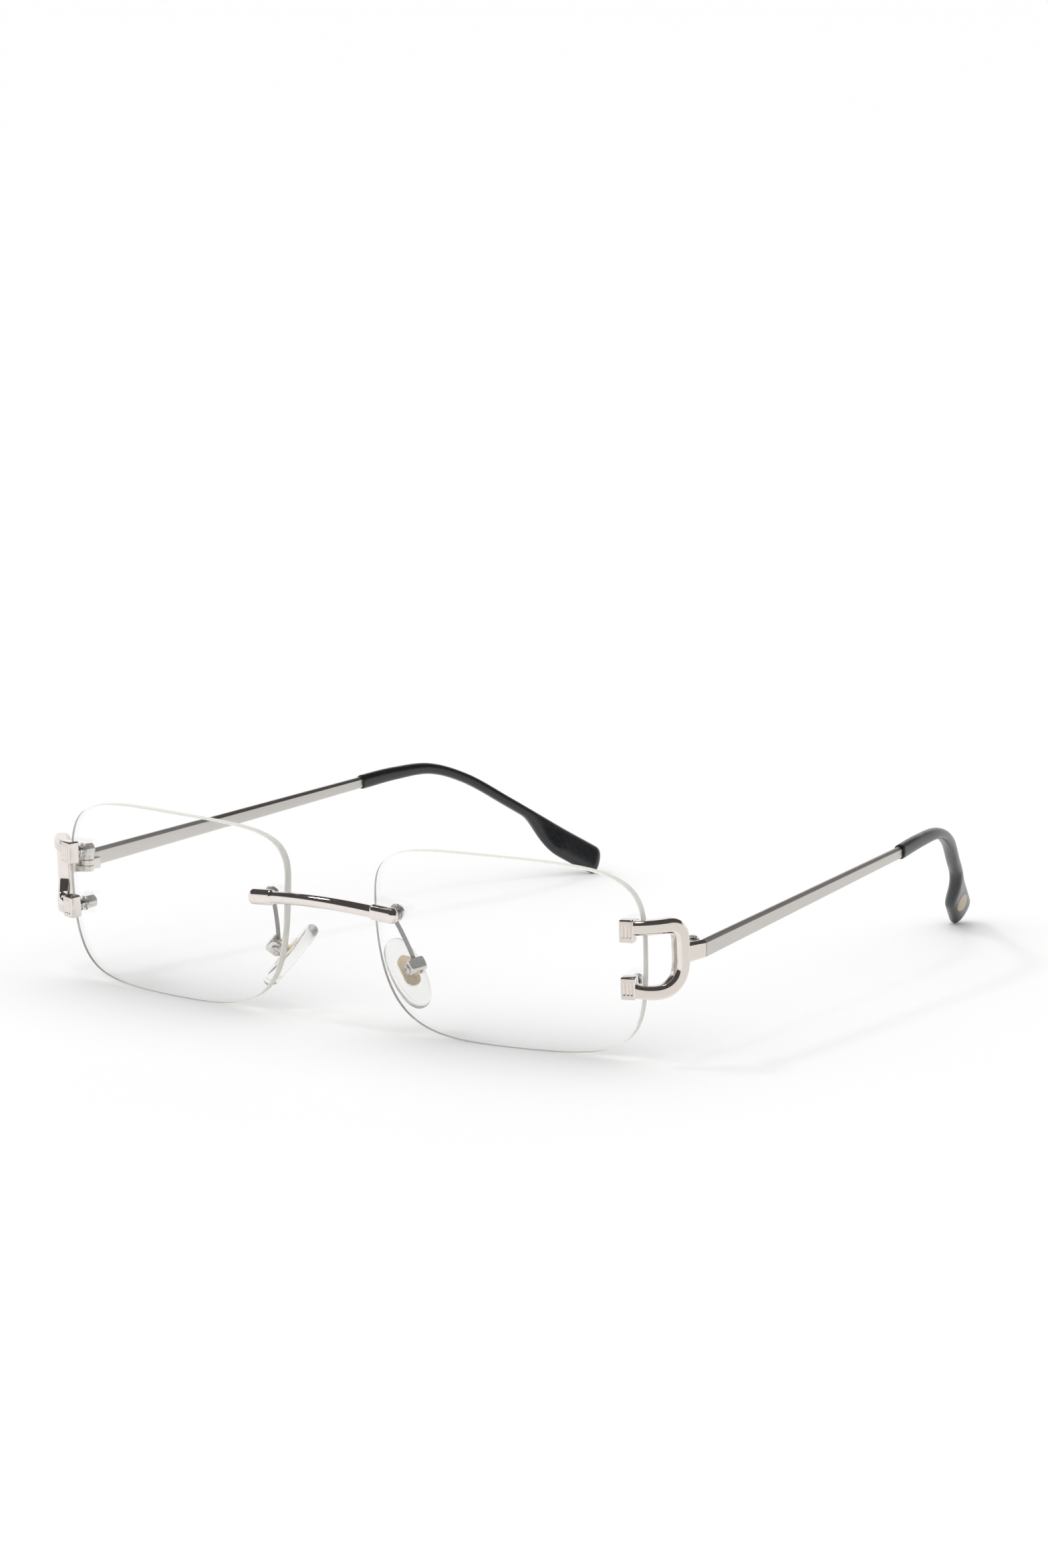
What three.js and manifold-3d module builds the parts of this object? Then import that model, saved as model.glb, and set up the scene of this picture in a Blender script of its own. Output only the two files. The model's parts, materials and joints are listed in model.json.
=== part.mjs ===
// Rimless eyeglasses, open, standing on the bottoms of both lenses and the ends of both temple tips.
// Millimetres. +Z is up, +Y runs back along the temples, and the wearer's left is +X.
// Every paired piece is drawn once, for the wearer's left, and mirrored in X for the right.
import * as THREE from 'three';
import { mergeVertices } from 'three/addons/utils/BufferGeometryUtils.js';
import Module from 'manifold-3d';

const wasm = await Module();
wasm.setup();

const { Vector2, Vector3, Matrix4 } = THREE;
const degrees = THREE.MathUtils.degToRad;
const mix = THREE.MathUtils.lerp;

// ---------------------------------------------------------------- driving dimensions
const FIT = 0.05;            // running and assembly clearance
const ROUND = 12;            // facets round a small fastener

// The lens outline is four curves between its extreme points, seen along the lens axis, nose to the left.
const lens = {
  centre: new Vector3(38.4, 0, 16.84),
  thickness: 1.7,
  frontRadius: 124,
  wrap: degrees(6.4),
  tilt: degrees(4),
  outer: { at: [26.8, 3.9], up: 11, down: 20.5 },
  top: { at: [-0.5, 17.95], left: 20.5, right: 24.7 },
  nose: { at: [-28.2, 8.9], up: 8.6, down: 26 },
  bottom: { at: [0.9, -16.95], left: 19.5, right: 22 },
  hole: 0.6,
};

// Where studs pass through a lens, from the lens centre.
const studs = {
  radius: 0.5,
  bridge: { u: -24.3, v: 5.2 },
  upper: { u: 24.5, v: 7 },
  lower: { u: 24.5, v: -3.2 },
};
const washer = { radius: 1.3, thickness: 0.35 };
const bracketWasher = { radius: 1.35, thickness: 0.45 };
const eyelet = { radius: 1.6, thickness: 0.35 };

const bridge = {
  seamX: 11.2,
  endX: 16.6,
  depth: 2.2,
  lugHeight: 2.9,
  barHeight: 2.25,
  barDepth: 2.15,
  middle: new Vector3(0, -3.5, 23.1),
  seam: new Vector3(11.2, -2.35, 22.4),
  end: new Vector3(16.6, -2.25, 22.05),
  spigotRadius: 0.7,
  spigotLength: 1.7,
};

// The end bracket is a "D" opening towards the lens. Its face curves from the lens round to the side.
const bracket = {
  faceRadius: 10.4,
  upperArmHeight: 2.6,
  lowerArmHeight: 2.45,
  depth: 2.1,
  swellHeight: 0.25,
  swellDepth: 0.5,
  chamfer: 0.4,
  upperArmV: 7.65,
  lowerArmV: -4.05,
  barS: 9.8,
  capWidth: 2.7,
  capHeight: 4.1,
  capDepth: 2.35,
};

const hinge = {
  axis: new Vector2(68.15, 15.9),
  centreZ: 19.75,
  radius: 1.2,
  height: 3.3,
  pinRadius: 0.5,
  headRadius: 0.85,
  plateFrom: 1.35,
  plateTo: 3.6,
  plateThickness: 1.2,
  plateTop: 0.5,
};

const bar = {
  start: new Vector3(70.3, 15.97, 19.75),
  end: new Vector3(62.4, 92.4, 24.1),
  startHeight: 3.25,
  endHeight: 2.1,
  startWidth: 1.55,
  endWidth: 1.35,
  coreRadius: 0.55,
  coreLength: 9,
};

const tip = {
  sleeveHeight: 2.75,
  sleeveWidth: 2.35,
  dropHeight: 2,
  dropWidth: 2.6,
  paddleHeight: 6,
  paddleWidth: 2.7,
  paddleTwist: degrees(26),
  inlayLength: 5.4,
  inlayWidth: 3.4,
  inlayDepth: 0.6,
};

// The nose pad's own axes: along is its length, pointing down, across points back, out faces the lens.
const pad = {
  centre: new Vector3(13.4, 6.1, 10.2),
  along: new Vector3(0.617, -0.173, -0.763),
  out: new Vector3(0.632, -0.469, 0.6175),
  length: 14.4,
  width: 6.5,
  thickness: 2.3,
  plateLength: 6.2,
  plateWidth: 3,
  plateDepth: 0.7,
  screw: new Vector3(0.4, 0.7, 2.75),
  lugRadius: 1.05,
  lugThickness: 1.2,
  boxLength: 3.1,
  boxWidth: 2.7,
  boxRoof: 0.65,
  wire: 0.8,
};

// ---------------------------------------------------------------- materials
function metal(color, roughness) {
  return new THREE.MeshStandardMaterial({ color, roughness, metalness: 1 });
}

function plastic(color, roughness, opacity = 1) {
  const transparent = opacity < 1;
  return new THREE.MeshStandardMaterial({ color, roughness, metalness: 0, opacity, transparent });
}

const materials = {
  polished: metal(0xd8d0c8, 0.12),
  satin: metal(0xbfb6ae, 0.35),
  steel: metal(0xc9c6c2, 0.25),
  gold: metal(0xd9ae62, 0.3),
  clearLens: plastic(0xf4f8f6, 0.02, 0.2),
  silicone: plastic(0xf2f2ee, 0.25, 0.4),
  black: plastic(0x1a1c1f, 0.35),
};

// ---------------------------------------------------------------- solids
// A closed mesh from points and triangles, turned right side out if its volume comes out negative.
function closedMesh(points, triangles) {
  let volume = 0;
  for (const [a, b, c] of triangles) {
    volume += points[a].dot(new Vector3().crossVectors(points[b], points[c]));
  }
  const index = volume > 0 ? triangles : triangles.map(([a, b, c]) => [a, c, b]);
  const geometry = new THREE.BufferGeometry().setFromPoints(points);
  geometry.setIndex(index.flat());
  return geometry;
}

// A skin over rings of equally many points, closed by a fan over each end ring.
function loft(rings) {
  const count = rings[0].length;
  const points = rings.flat();
  const triangles = [];
  for (let ring = 0; ring + 1 < rings.length; ring++) {
    for (let i = 0; i < count; i++) {
      const a = ring * count + i;
      const b = ring * count + (i + 1) % count;
      triangles.push([a, b, b + count], [a, b + count, a + count]);
    }
  }
  const lastStart = (rings.length - 1) * count;
  for (const [start, flip] of [[0, true], [lastStart, false]]) {
    const centre = new Vector3();
    for (let i = 0; i < count; i++) centre.addScaledVector(points[start + i], 1 / count);
    points.push(centre);
    for (let i = 0; i < count; i++) {
      const a = start + i;
      const b = start + (i + 1) % count;
      triangles.push(flip ? [b, a, points.length - 1] : [a, b, points.length - 1]);
    }
  }
  return closedMesh(points, triangles);
}

function manifoldOf(geometry) {
  const bare = geometry.clone();
  bare.deleteAttribute('normal');
  bare.deleteAttribute('uv');
  const merged = mergeVertices(bare, 1e-4);
  return new wasm.Manifold(new wasm.Mesh({
    numProp: 3,
    vertProperties: new Float32Array(merged.attributes.position.array),
    triVerts: new Uint32Array(merged.index.array),
  }));
}

function geometryOf(manifold) {
  const mesh = manifold.getMesh();
  const geometry = new THREE.BufferGeometry();
  geometry.setAttribute('position', new THREE.BufferAttribute(mesh.vertProperties, 3));
  geometry.setIndex(new THREE.BufferAttribute(mesh.triVerts, 1));
  return geometry;
}

function cut(body, ...tools) {
  return geometryOf(tools.reduce((left, tool) => left.subtract(manifoldOf(tool)), manifoldOf(body)));
}

function join(body, ...others) {
  return geometryOf(others.reduce((sum, other) => sum.add(manifoldOf(other)), manifoldOf(body)));
}

// A cylinder along Y between two heights.
function rod(radius, from, to, facets = ROUND) {
  return new THREE.CylinderGeometry(radius, radius, to - from, facets).translate(0, (from + to) / 2, 0);
}

// A washer or nut along Y: a tube between two heights.
function tube(outer, inner, from, to, facets = ROUND) {
  const profile = [[inner, from], [outer, from], [outer, to], [inner, to], [inner, from]];
  return new THREE.LatheGeometry(profile.map(([r, y]) => new Vector2(r, y)), facets);
}

function block(sizeX, sizeY, sizeZ, x, y, z) {
  return new THREE.BoxGeometry(sizeX, sizeY, sizeZ).translate(x, y, z);
}

// ---------------------------------------------------------------- cross-sections
// An oval whose sides are squarer as the power rises; power 2 is an ellipse.
function oval(width, height, power, count = 16) {
  return Array.from({ length: count }, (_, i) => {
    const angle = 2 * Math.PI * (i + 0.5) / count;
    const x = Math.sign(Math.cos(angle)) * Math.abs(Math.cos(angle)) ** (2 / power);
    const y = Math.sign(Math.sin(angle)) * Math.abs(Math.sin(angle)) ** (2 / power);
    return [x * width / 2, y * height / 2];
  });
}

// A rectangle with its upper corners cut by one chamfer and its lower corners by another.
function chamfered(width, height, upper, lower) {
  const x = width / 2;
  const y = height / 2;
  return [
    [x, -y + lower], [x, y - upper], [x - upper, y], [-x + upper, y],
    [-x, y - upper], [-x, -y + lower], [-x + lower, -y], [x - lower, -y],
  ];
}

function ringAt(section, at, side, up) {
  return section.map(([x, y]) => at.clone().addScaledVector(side, x).addScaledVector(up, y));
}

// ---------------------------------------------------------------- lens
// The lens frame: origin at the lens centre, X outwards, Y back, Z up, turned by the wrap and the tilt.
const lensFrame = new Matrix4().makeRotationX(lens.tilt)
  .multiply(new Matrix4().makeRotationZ(lens.wrap))
  .setPosition(lens.centre);

function lensSurface(u, v, depth) {
  return new Vector3(u, (u * u + v * v) / (2 * lens.frontRadius) + depth, v);
}

function lensOutline(count) {
  const { outer, top, nose, bottom } = lens;
  const outline = new THREE.Shape();
  const curve = ({ at: from }, leaving, arriving, { at: to }) => outline.bezierCurveTo(
    from[0] + leaving[0], from[1] + leaving[1], to[0] + arriving[0], to[1] + arriving[1], to[0], to[1],
  );
  outline.moveTo(...outer.at);
  curve(outer, [0, outer.up], [top.right, 0], top);
  curve(top, [-top.left, 0], [0, nose.up], nose);
  curve(nose, [0, -nose.down], [-bottom.left, 0], bottom);
  curve(bottom, [bottom.right, 0], [0, -outer.down], outer);
  return outline.getSpacedPoints(count).slice(0, count);
}

// A frame on the lens front at a stud: Y points back through the lens, square to its surface.
function studFrame({ u, v }) {
  const back = new Vector3(-u / lens.frontRadius, 1, -v / lens.frontRadius).normalize();
  const across = new Vector3().crossVectors(back, new Vector3(0, 0, 1)).normalize();
  const up = new Vector3().crossVectors(across, back);
  return new Matrix4().makeBasis(across, back, up).setPosition(lensSurface(u, v, 0));
}

function lensBody() {
  const outline = lensOutline(44);
  const ringsFromCentre = [0.2, 0.4, 0.6, 0.8, 1];
  const ring = (scale, depth) => outline.map((p) => lensSurface(p.x * scale, p.y * scale, depth));
  const front = ringsFromCentre.map((scale) => ring(scale, 0));
  const back = ringsFromCentre.map((scale) => ring(scale, lens.thickness)).reverse();
  const drills = [studs.bridge, studs.upper, studs.lower].map((stud) => (
    rod(lens.hole, -1, lens.thickness + 1).applyMatrix4(studFrame(stud))
  ));
  return cut(loft([...front, ...back]), ...drills);
}

// ---------------------------------------------------------------- bridge
function bridgeCentre(x) {
  const reach = Math.abs(x);
  if (reach > bridge.seamX) {
    const t = (reach - bridge.seamX) / (bridge.endX - bridge.seamX);
    return new Vector3(x, mix(bridge.seam.y, bridge.end.y, t), mix(bridge.seam.z, bridge.end.z, t));
  }
  const t = (reach / bridge.seamX) ** 2;
  return new Vector3(x, mix(bridge.middle.y, bridge.seam.y, t), mix(bridge.middle.z, bridge.seam.z, t));
}

const ALONG_Y = new Vector3(0, 1, 0);
const ALONG_Z = new Vector3(0, 0, 1);

// The spigot on each end of the bar, which is soldered into the lug.
function bridgeSpigot(side, clearance) {
  const start = bridgeCentre(side * (bridge.seamX - 1));
  const end = bridgeCentre(side * (bridge.seamX + bridge.spigotLength + clearance));
  const section = oval(2, 2, 2, ROUND).map(([x, y]) => [
    x * (bridge.spigotRadius + clearance), y * (bridge.spigotRadius + clearance),
  ]);
  return loft([ringAt(section, start, ALONG_Y, ALONG_Z), ringAt(section, end, ALONG_Y, ALONG_Z)]);
}

function bridgeBar() {
  const steps = 14;
  const reach = bridge.seamX - FIT / 2;
  const section = oval(bridge.barDepth, bridge.barHeight, 2.6);
  const rings = Array.from({ length: steps + 1 }, (_, i) => (
    ringAt(section, bridgeCentre(mix(-reach, reach, i / steps)), ALONG_Y, ALONG_Z)
  ));
  return join(loft(rings), bridgeSpigot(-1, 0), bridgeSpigot(1, 0));
}

// A rounded block over the lens front, drilled for the stud and bored for the bar's spigot.
function bridgeLug() {
  const roundEnd = 1;
  const length = bridge.endX - bridge.seamX;
  const stations = [0, 0.35, length - roundEnd, length - 0.6, length - 0.25, length - 0.06, length];
  const rings = stations.map((x) => {
    const past = Math.max(0, x - (length - roundEnd)) / roundEnd;
    const scale = Math.max(0.35, Math.sqrt(1 - past * past));
    const section = oval(bridge.depth * scale, bridge.lugHeight * scale, 3.4);
    return ringAt(section, bridgeCentre(bridge.seamX + FIT / 2 + x), ALONG_Y, ALONG_Z);
  });
  const studHole = rod(studs.radius + FIT, -2, 1)
    .applyMatrix4(studFrame(studs.bridge)).applyMatrix4(lensFrame);
  return cut(loft(rings), bridgeSpigot(1, FIT), studHole);
}

// ---------------------------------------------------------------- end bracket
// A point on the bracket: s is the distance round its curved face, v the height, depth goes back.
const bracketHeading = Math.asin(studs.upper.u / lens.frontRadius);

function bracketFrame(s) {
  const heading = bracketHeading + s / bracket.faceRadius;
  const along = new Vector3(Math.cos(heading), Math.sin(heading), 0);
  const back = new Vector3(-Math.sin(heading), Math.cos(heading), 0);
  const firstBack = new Vector3(-Math.sin(bracketHeading), Math.cos(bracketHeading), 0);
  const middle = bracketWasher.thickness + bracket.depth / 2;
  const at = lensSurface(studs.upper.u, 0, 0)
    .addScaledVector(firstBack, bracket.faceRadius - middle)
    .addScaledVector(back, -bracket.faceRadius);
  return { at, along, back };
}

function bracketPoint(s, v, depth) {
  const { at, back } = bracketFrame(s);
  return at.addScaledVector(back, depth).setZ(v);
}

function bracketPath() {
  const { barS, upperArmV, lowerArmV } = bracket;
  const path = new THREE.Path();
  path.moveTo(1, upperArmV - 0.1);
  path.lineTo(7.4, upperArmV);
  path.bezierCurveTo(8.9, upperArmV, barS, upperArmV - 1.1, barS, upperArmV - 3.2);
  path.lineTo(barS, 1.2);
  path.bezierCurveTo(barS, -2.2, 7.8, lowerArmV - 0.25, 4.7, lowerArmV - 0.25);
  path.quadraticCurveTo(2.6, lowerArmV - 0.25, 1, lowerArmV + 0.25);
  return path;
}

// The arms are thickest where they meet in the upright of the D.
function bracketArms() {
  const steps = 24;
  const path = bracketPath();
  const rings = Array.from({ length: steps + 1 }, (_, i) => {
    const here = path.getPointAt(i / steps);
    const ahead = path.getTangentAt(i / steps);
    const { along, back } = bracketFrame(here.x);
    const outward = along.clone().multiplyScalar(-ahead.y).setZ(ahead.x);
    const swell = Math.sin(Math.PI * i / steps) ** 2;
    const armHeight = mix(bracket.upperArmHeight, bracket.lowerArmHeight, i / steps);
    const height = armHeight + bracket.swellHeight * swell;
    const depth = bracket.depth + bracket.swellDepth * swell;
    const section = chamfered(height, depth, bracket.chamfer / 2, bracket.chamfer);
    return ringAt(section, bracketPoint(here.x, here.y, 0), outward, back);
  });
  return loft(rings);
}

// The square foot of each arm, with the stud hole in its back.
function bracketCap(v) {
  const half = new Vector2(bracket.capWidth / 2, bracket.capHeight / 2);
  const frontInset = 0.3;
  const ring = (inset, depth) => [[-1, -1], [1, -1], [1, 1], [-1, 1]].map(([x, z]) => (
    new Vector3(x * (half.x - inset), depth, z * (half.y - inset))
  ));
  const front = -bracketWasher.thickness - bracket.capDepth;
  const rings = [ring(frontInset, front), ring(0, front + frontInset), ring(0, -bracketWasher.thickness)];
  return loft(rings).applyMatrix4(studFrame({ u: studs.upper.u, v }));
}

// The stub runs straight back from the bracket to the hinge seam.
function bracketStub() {
  const startHeight = bar.startHeight + 0.35;
  const start = new Vector3(bar.start.x, 10.5, hinge.centreZ + 0.1);
  const end = new Vector3(bar.start.x, hinge.axis.y - FIT / 2, hinge.centreZ);
  return loft([
    ringAt(chamfered(bar.startWidth, startHeight, 0.6, 0.3), start, new Vector3(1, 0, 0), ALONG_Z),
    ringAt(chamfered(bar.startWidth, bar.startHeight, 0.6, 0.3), end, new Vector3(1, 0, 0), ALONG_Z),
  ]);
}

function endBracket() {
  const face = join(bracketArms(), bracketCap(studs.upper.v), bracketCap(studs.lower.v))
    .applyMatrix4(lensFrame);
  const studHoles = [studs.upper, studs.lower].map((stud) => (
    rod(studs.radius + FIT, -1.6, 1).applyMatrix4(studFrame(stud)).applyMatrix4(lensFrame)
  ));
  return cut(join(face, bracketStub()), ...studHoles);
}

// ---------------------------------------------------------------- hinge
const knuckleHeight = hinge.height / 3;

// A knuckle with its web reaching out to the stub or the bar; level counts up from the bottom knuckle.
function knuckle(level, webFromY, webToY, reach) {
  const bottom = hinge.centreZ - hinge.height / 2 + level * knuckleHeight + FIT / 2;
  const top = bottom + knuckleHeight - FIT;
  const barrel = new THREE.CylinderGeometry(hinge.radius, hinge.radius, top - bottom, 16)
    .rotateX(Math.PI / 2)
    .translate(hinge.axis.x, hinge.axis.y, (bottom + top) / 2);
  const web = block(
    reach, webToY - webFromY, top - bottom,
    hinge.axis.x + reach / 2, (webFromY + webToY) / 2, (bottom + top) / 2,
  );
  return join(barrel, web);
}

function hingeBore() {
  return new THREE.CylinderGeometry(hinge.pinRadius + FIT, hinge.pinRadius + FIT, 2 * hinge.height, ROUND)
    .rotateX(Math.PI / 2)
    .translate(hinge.axis.x, hinge.axis.y, hinge.centreZ);
}

// Each leaf is a plate beside the stub or the bar with its knuckles, bored for the screw. The front leaf
// has the lower and the upper knuckle, the rear leaf the middle one.
function hingeFrontLeaf() {
  const innerFace = bar.start.x - bar.startWidth / 2 - FIT;
  const reach = innerFace - hinge.axis.x;
  const plate = block(0.5, 2.2, hinge.height - FIT, innerFace - 0.25, hinge.axis.y - 2.2, hinge.centreZ);
  const low = knuckle(0, hinge.axis.y - 1.8, hinge.axis.y - FIT, reach);
  const high = knuckle(2, hinge.axis.y - 1.8, hinge.axis.y - FIT, reach);
  return cut(join(plate, low, high), hingeBore());
}

function hingeRearLeaf() {
  const { plateFrom, plateTo, plateThickness } = hinge;
  const webEnd = plateFrom + 0.4;
  const halfHeight = (hinge.height - FIT) / 2;
  const innerFace = (distance) => {
    const lean = distance * (bar.start.x - bar.end.x) / (bar.end.y - bar.start.y);
    return bar.start.x - bar.startWidth / 2 - FIT - lean;
  };
  const plate = loft([-halfHeight, hinge.plateTop].map((z) => [
    [innerFace(plateFrom), plateFrom], [innerFace(plateTo), plateTo],
    [innerFace(plateTo) - plateThickness, plateTo], [innerFace(plateFrom) - plateThickness, plateFrom],
  ].map(([x, distance]) => new Vector3(x, hinge.axis.y + distance, hinge.centreZ + z))));
  const reach = innerFace(webEnd) - hinge.axis.x;
  return cut(join(plate, knuckle(1, hinge.axis.y + FIT, hinge.axis.y + webEnd, reach)), hingeBore());
}

function hingeScrew() {
  const bottom = -hinge.height / 2;
  const top = hinge.height / 2 + FIT;
  const screw = join(rod(hinge.pinRadius, bottom, top + 0.2), rod(hinge.headRadius, top, top + 0.4));
  return screw.rotateX(Math.PI / 2).translate(hinge.axis.x, hinge.axis.y, hinge.centreZ);
}

// ---------------------------------------------------------------- temple
const barDirection = bar.end.clone().sub(bar.start).normalize();

function templeCore(clearance) {
  const radius = bar.coreRadius + clearance;
  const along = new THREE.Quaternion().setFromUnitVectors(ALONG_Y, barDirection);
  return rod(radius, -1, bar.coreLength + clearance)
    .applyMatrix4(new Matrix4().compose(bar.end, along, new Vector3(1, 1, 1)));
}

function templeBar() {
  const across = new Vector3(1, 0, 0);
  const rings = [0, 0.25, 0.5, 0.75, 1].map((t) => {
    const height = mix(bar.startHeight, bar.endHeight, t);
    const width = mix(bar.startWidth, bar.endWidth, t);
    const section = chamfered(width, height, mix(0.6, 0.4, t), 0.3);
    return ringAt(section, bar.start.clone().lerp(bar.end, t), across, ALONG_Z);
  });
  return join(loft(rings), templeCore(0));
}

// The middle of the tip from the sleeve mouth over the bend and down to the end.
const tipPath = new THREE.CatmullRomCurve3([
  bar.end.clone().addScaledVector(barDirection, 0.15),
  new Vector3(60.9, 101.4, 24.7),
  new Vector3(59, 110.8, 24.5),
  new Vector3(56.3, 118.8, 21.7),
  new Vector3(51.9, 128.1, 15.7),
  new Vector3(47.2, 138.2, 8.9),
  new Vector3(43.25, 146.6, 3.52),
]);

// Height and width of the tip at t from sleeve to end, and how far the paddle has flared out.
function tipSection(t) {
  const flare = THREE.MathUtils.smoothstep(t, 0.68, 0.85);
  const drop = THREE.MathUtils.smoothstep(t, 0, 0.4);
  const endRound = Math.cbrt(1 - Math.max(0, (t - 0.97) / 0.031) ** 3);
  const height = mix(mix(tip.sleeveHeight, tip.dropHeight, drop), tip.paddleHeight, flare) * endRound;
  const width = mix(mix(tip.sleeveWidth, tip.dropWidth, drop), tip.paddleWidth, flare) * endRound;
  return { height, width, flare };
}

// The paddle hangs below the path and turns its lower edge inwards.
function tipStation(t) {
  const { height, width, flare } = tipSection(t);
  const ahead = tipPath.getTangentAt(t);
  const outwards = new Vector3().crossVectors(ahead, ALONG_Z).normalize();
  const upwards = new Vector3().crossVectors(outwards, ahead);
  const side = outwards.clone().applyAxisAngle(ahead, flare * tip.paddleTwist);
  const up = upwards.clone().applyAxisAngle(ahead, flare * tip.paddleTwist);
  const at = tipPath.getPointAt(t).addScaledVector(up, -flare * (tip.paddleHeight - tip.dropHeight) / 2);
  return { at, side, up, ahead, height, width };
}

// The inlay's frame: Y out of the paddle's outer face, Z along the paddle.
function inlayFrame() {
  const { at, side, up, ahead, width } = tipStation(0.89);
  const bottom = at.addScaledVector(side, width / 2 - tip.inlayDepth);
  return new Matrix4().makeBasis(up, side, ahead).setPosition(bottom);
}

function inlayDisc(clearance, height) {
  return rod(1, 0, height, 16).scale(tip.inlayWidth / 2 + clearance, 1, tip.inlayLength / 2 + clearance);
}

function tipInlay() {
  const lift = new Matrix4().makeTranslation(0, FIT, 0);
  const disc = inlayDisc(0, 2).applyMatrix4(inlayFrame().multiply(lift));
  return geometryOf(manifoldOf(disc).intersect(manifoldOf(tipBody())));
}

function tipBody() {
  const steps = 22;
  const stations = Array.from({ length: steps }, (_, i) => i / steps);
  const rings = [...stations, 0.975, 0.986, 0.995, 1].map((t) => {
    const { at, side, up, height, width } = tipStation(t);
    return ringAt(oval(width, height, 2.5, 12), at, side, up);
  });
  return loft(rings);
}

function templeTip() {
  return cut(tipBody(), templeCore(FIT), inlayDisc(FIT, 2).applyMatrix4(inlayFrame()));
}

// ---------------------------------------------------------------- nose pad
const padAcross = new Vector3().crossVectors(pad.out, pad.along).normalize();
const padFrame = new Matrix4().makeBasis(pad.along, padAcross, pad.out).setPosition(pad.centre);
const padScrewAxis = new Matrix4().makeTranslation(pad.screw);

function obround(length, width, from, to) {
  const shape = new THREE.Shape();
  const straight = (length - width) / 2;
  shape.absarc(straight, 0, width / 2, -Math.PI / 2, Math.PI / 2);
  shape.absarc(-straight, 0, width / 2, Math.PI / 2, 3 * Math.PI / 2);
  return new THREE.ExtrudeGeometry(shape, { depth: to - from, bevelEnabled: false, curveSegments: 5 })
    .translate(0, 0, from);
}

// A soft oval: flat towards the lens, domed towards the nose, with a pocket for the core plate.
function nosePad() {
  const layers = [[0.72, -0.5], [0.9, -0.36], [1, -0.05], [1, 0.25], [0.93, 0.44], [0.8, 0.5]];
  const rings = layers.map(([scale, depth]) => (
    ringAt(oval(pad.length - (1 - scale) * pad.width, pad.width * scale, 2.2, 24),
      new Vector3(0, 0, depth * pad.thickness), new Vector3(1, 0, 0), ALONG_Y)
  ));
  const pocket = obround(pad.plateLength + 2 * FIT, pad.plateWidth + 2 * FIT,
    pad.thickness / 2 - pad.plateDepth - FIT, pad.thickness);
  return cut(loft(rings), pocket);
}

// The gold plate, and the lug on it that the pad screw holds.
function padCore() {
  const top = pad.thickness / 2;
  const plate = obround(pad.plateLength, pad.plateWidth, top - pad.plateDepth, top);
  const post = block(2 * pad.lugRadius, pad.lugThickness, pad.screw.z - top + 0.2,
    pad.screw.x, pad.screw.y, (pad.screw.z + top - 0.2) / 2);
  const eye = rod(pad.lugRadius, -pad.lugThickness / 2, pad.lugThickness / 2).applyMatrix4(padScrewAxis);
  const bore = rod(0.45 + FIT, -2, 2).applyMatrix4(padScrewAxis);
  return cut(join(plate, post, eye), bore);
}

// The box holds the lug in a slot that opens towards the pad.
function padBox() {
  const bottom = -pad.lugRadius - 0.1;
  const roof = pad.lugRadius + 0.15 + pad.boxRoof;
  const side = oval(pad.boxWidth, roof - bottom, 4, 16);
  const middle = (roof + bottom) / 2;
  const ends = [-pad.boxLength / 2, pad.boxLength / 2];
  const shell = loft([
    [ends[0], 0.82], [ends[0] + 0.3, 1], [ends[1] - 0.3, 1], [ends[1], 0.82],
  ].map(([y, scale]) => ringAt(side.map(([x, z]) => [x * scale, z * scale]),
    new Vector3(0, y, middle), new Vector3(1, 0, 0), ALONG_Z)));
  const slotTop = pad.lugRadius + 0.15;
  const slot = block(2 * pad.boxWidth, pad.lugThickness + 4 * FIT, 4, 0, 0, slotTop - 2);
  const bore = rod(0.45 + FIT, -3, 3);
  return cut(shell, slot, bore).applyMatrix4(padScrewAxis);
}

function padScrew() {
  const front = -pad.boxLength / 2 - FIT;
  const head = rod(0.95, front - 0.4, front, 16);
  return join(head, rod(0.45, front - 0.2, pad.boxLength / 2 - 0.1)).applyMatrix4(padScrewAxis);
}

// An eyelet on the bridge stud and a wire down to the upper side of the pad box.
function padArm() {
  const depth = lens.thickness + washer.thickness + 2 * FIT;
  const ring = tube(eyelet.radius, studs.radius + FIT, depth, depth + eyelet.thickness)
    .applyMatrix4(studFrame(studs.bridge)).applyMatrix4(lensFrame);
  const boxSide = new Vector3(-pad.boxWidth / 2 - FIT, 0, 0.8).add(pad.screw).applyMatrix4(padFrame);
  const start = new Vector3(-0.4, depth + eyelet.thickness / 2 + 0.2, -1.55)
    .applyMatrix4(studFrame(studs.bridge)).applyMatrix4(lensFrame);
  const bow = new Vector3(0, 0.15, 0);
  const path = new THREE.CatmullRomCurve3([
    start, start.clone().lerp(boxSide, 0.35).add(bow), start.clone().lerp(boxSide, 0.7).add(bow), boxSide,
  ]);
  const steps = 10;
  const rings = Array.from({ length: steps + 1 }, (_, i) => {
    const ahead = path.getTangentAt(i / steps);
    const side = new Vector3().crossVectors(ahead, ALONG_Y).normalize();
    const up = new Vector3().crossVectors(side, ahead);
    return ringAt(oval(pad.wire, pad.wire, 2, 8), path.getPointAt(i / steps), side, up);
  });
  return join(ring, loft(rings));
}

// ---------------------------------------------------------------- assembly
const MIRROR = new Matrix4().makeScale(-1, 1, 1);

// Adds NAME_left at a frame, and NAME_right as its mirror image.
function addPair(group, name, geometry, material, frame = new Matrix4()) {
  const left = new THREE.Mesh(geometry, material);
  left.name = `${name}_left`;
  left.applyMatrix4(frame);
  const right = new THREE.Mesh(geometry, material);
  right.name = `${name}_right`;
  right.applyMatrix4(MIRROR.clone().multiply(frame));
  group.add(left, right);
}

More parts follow.
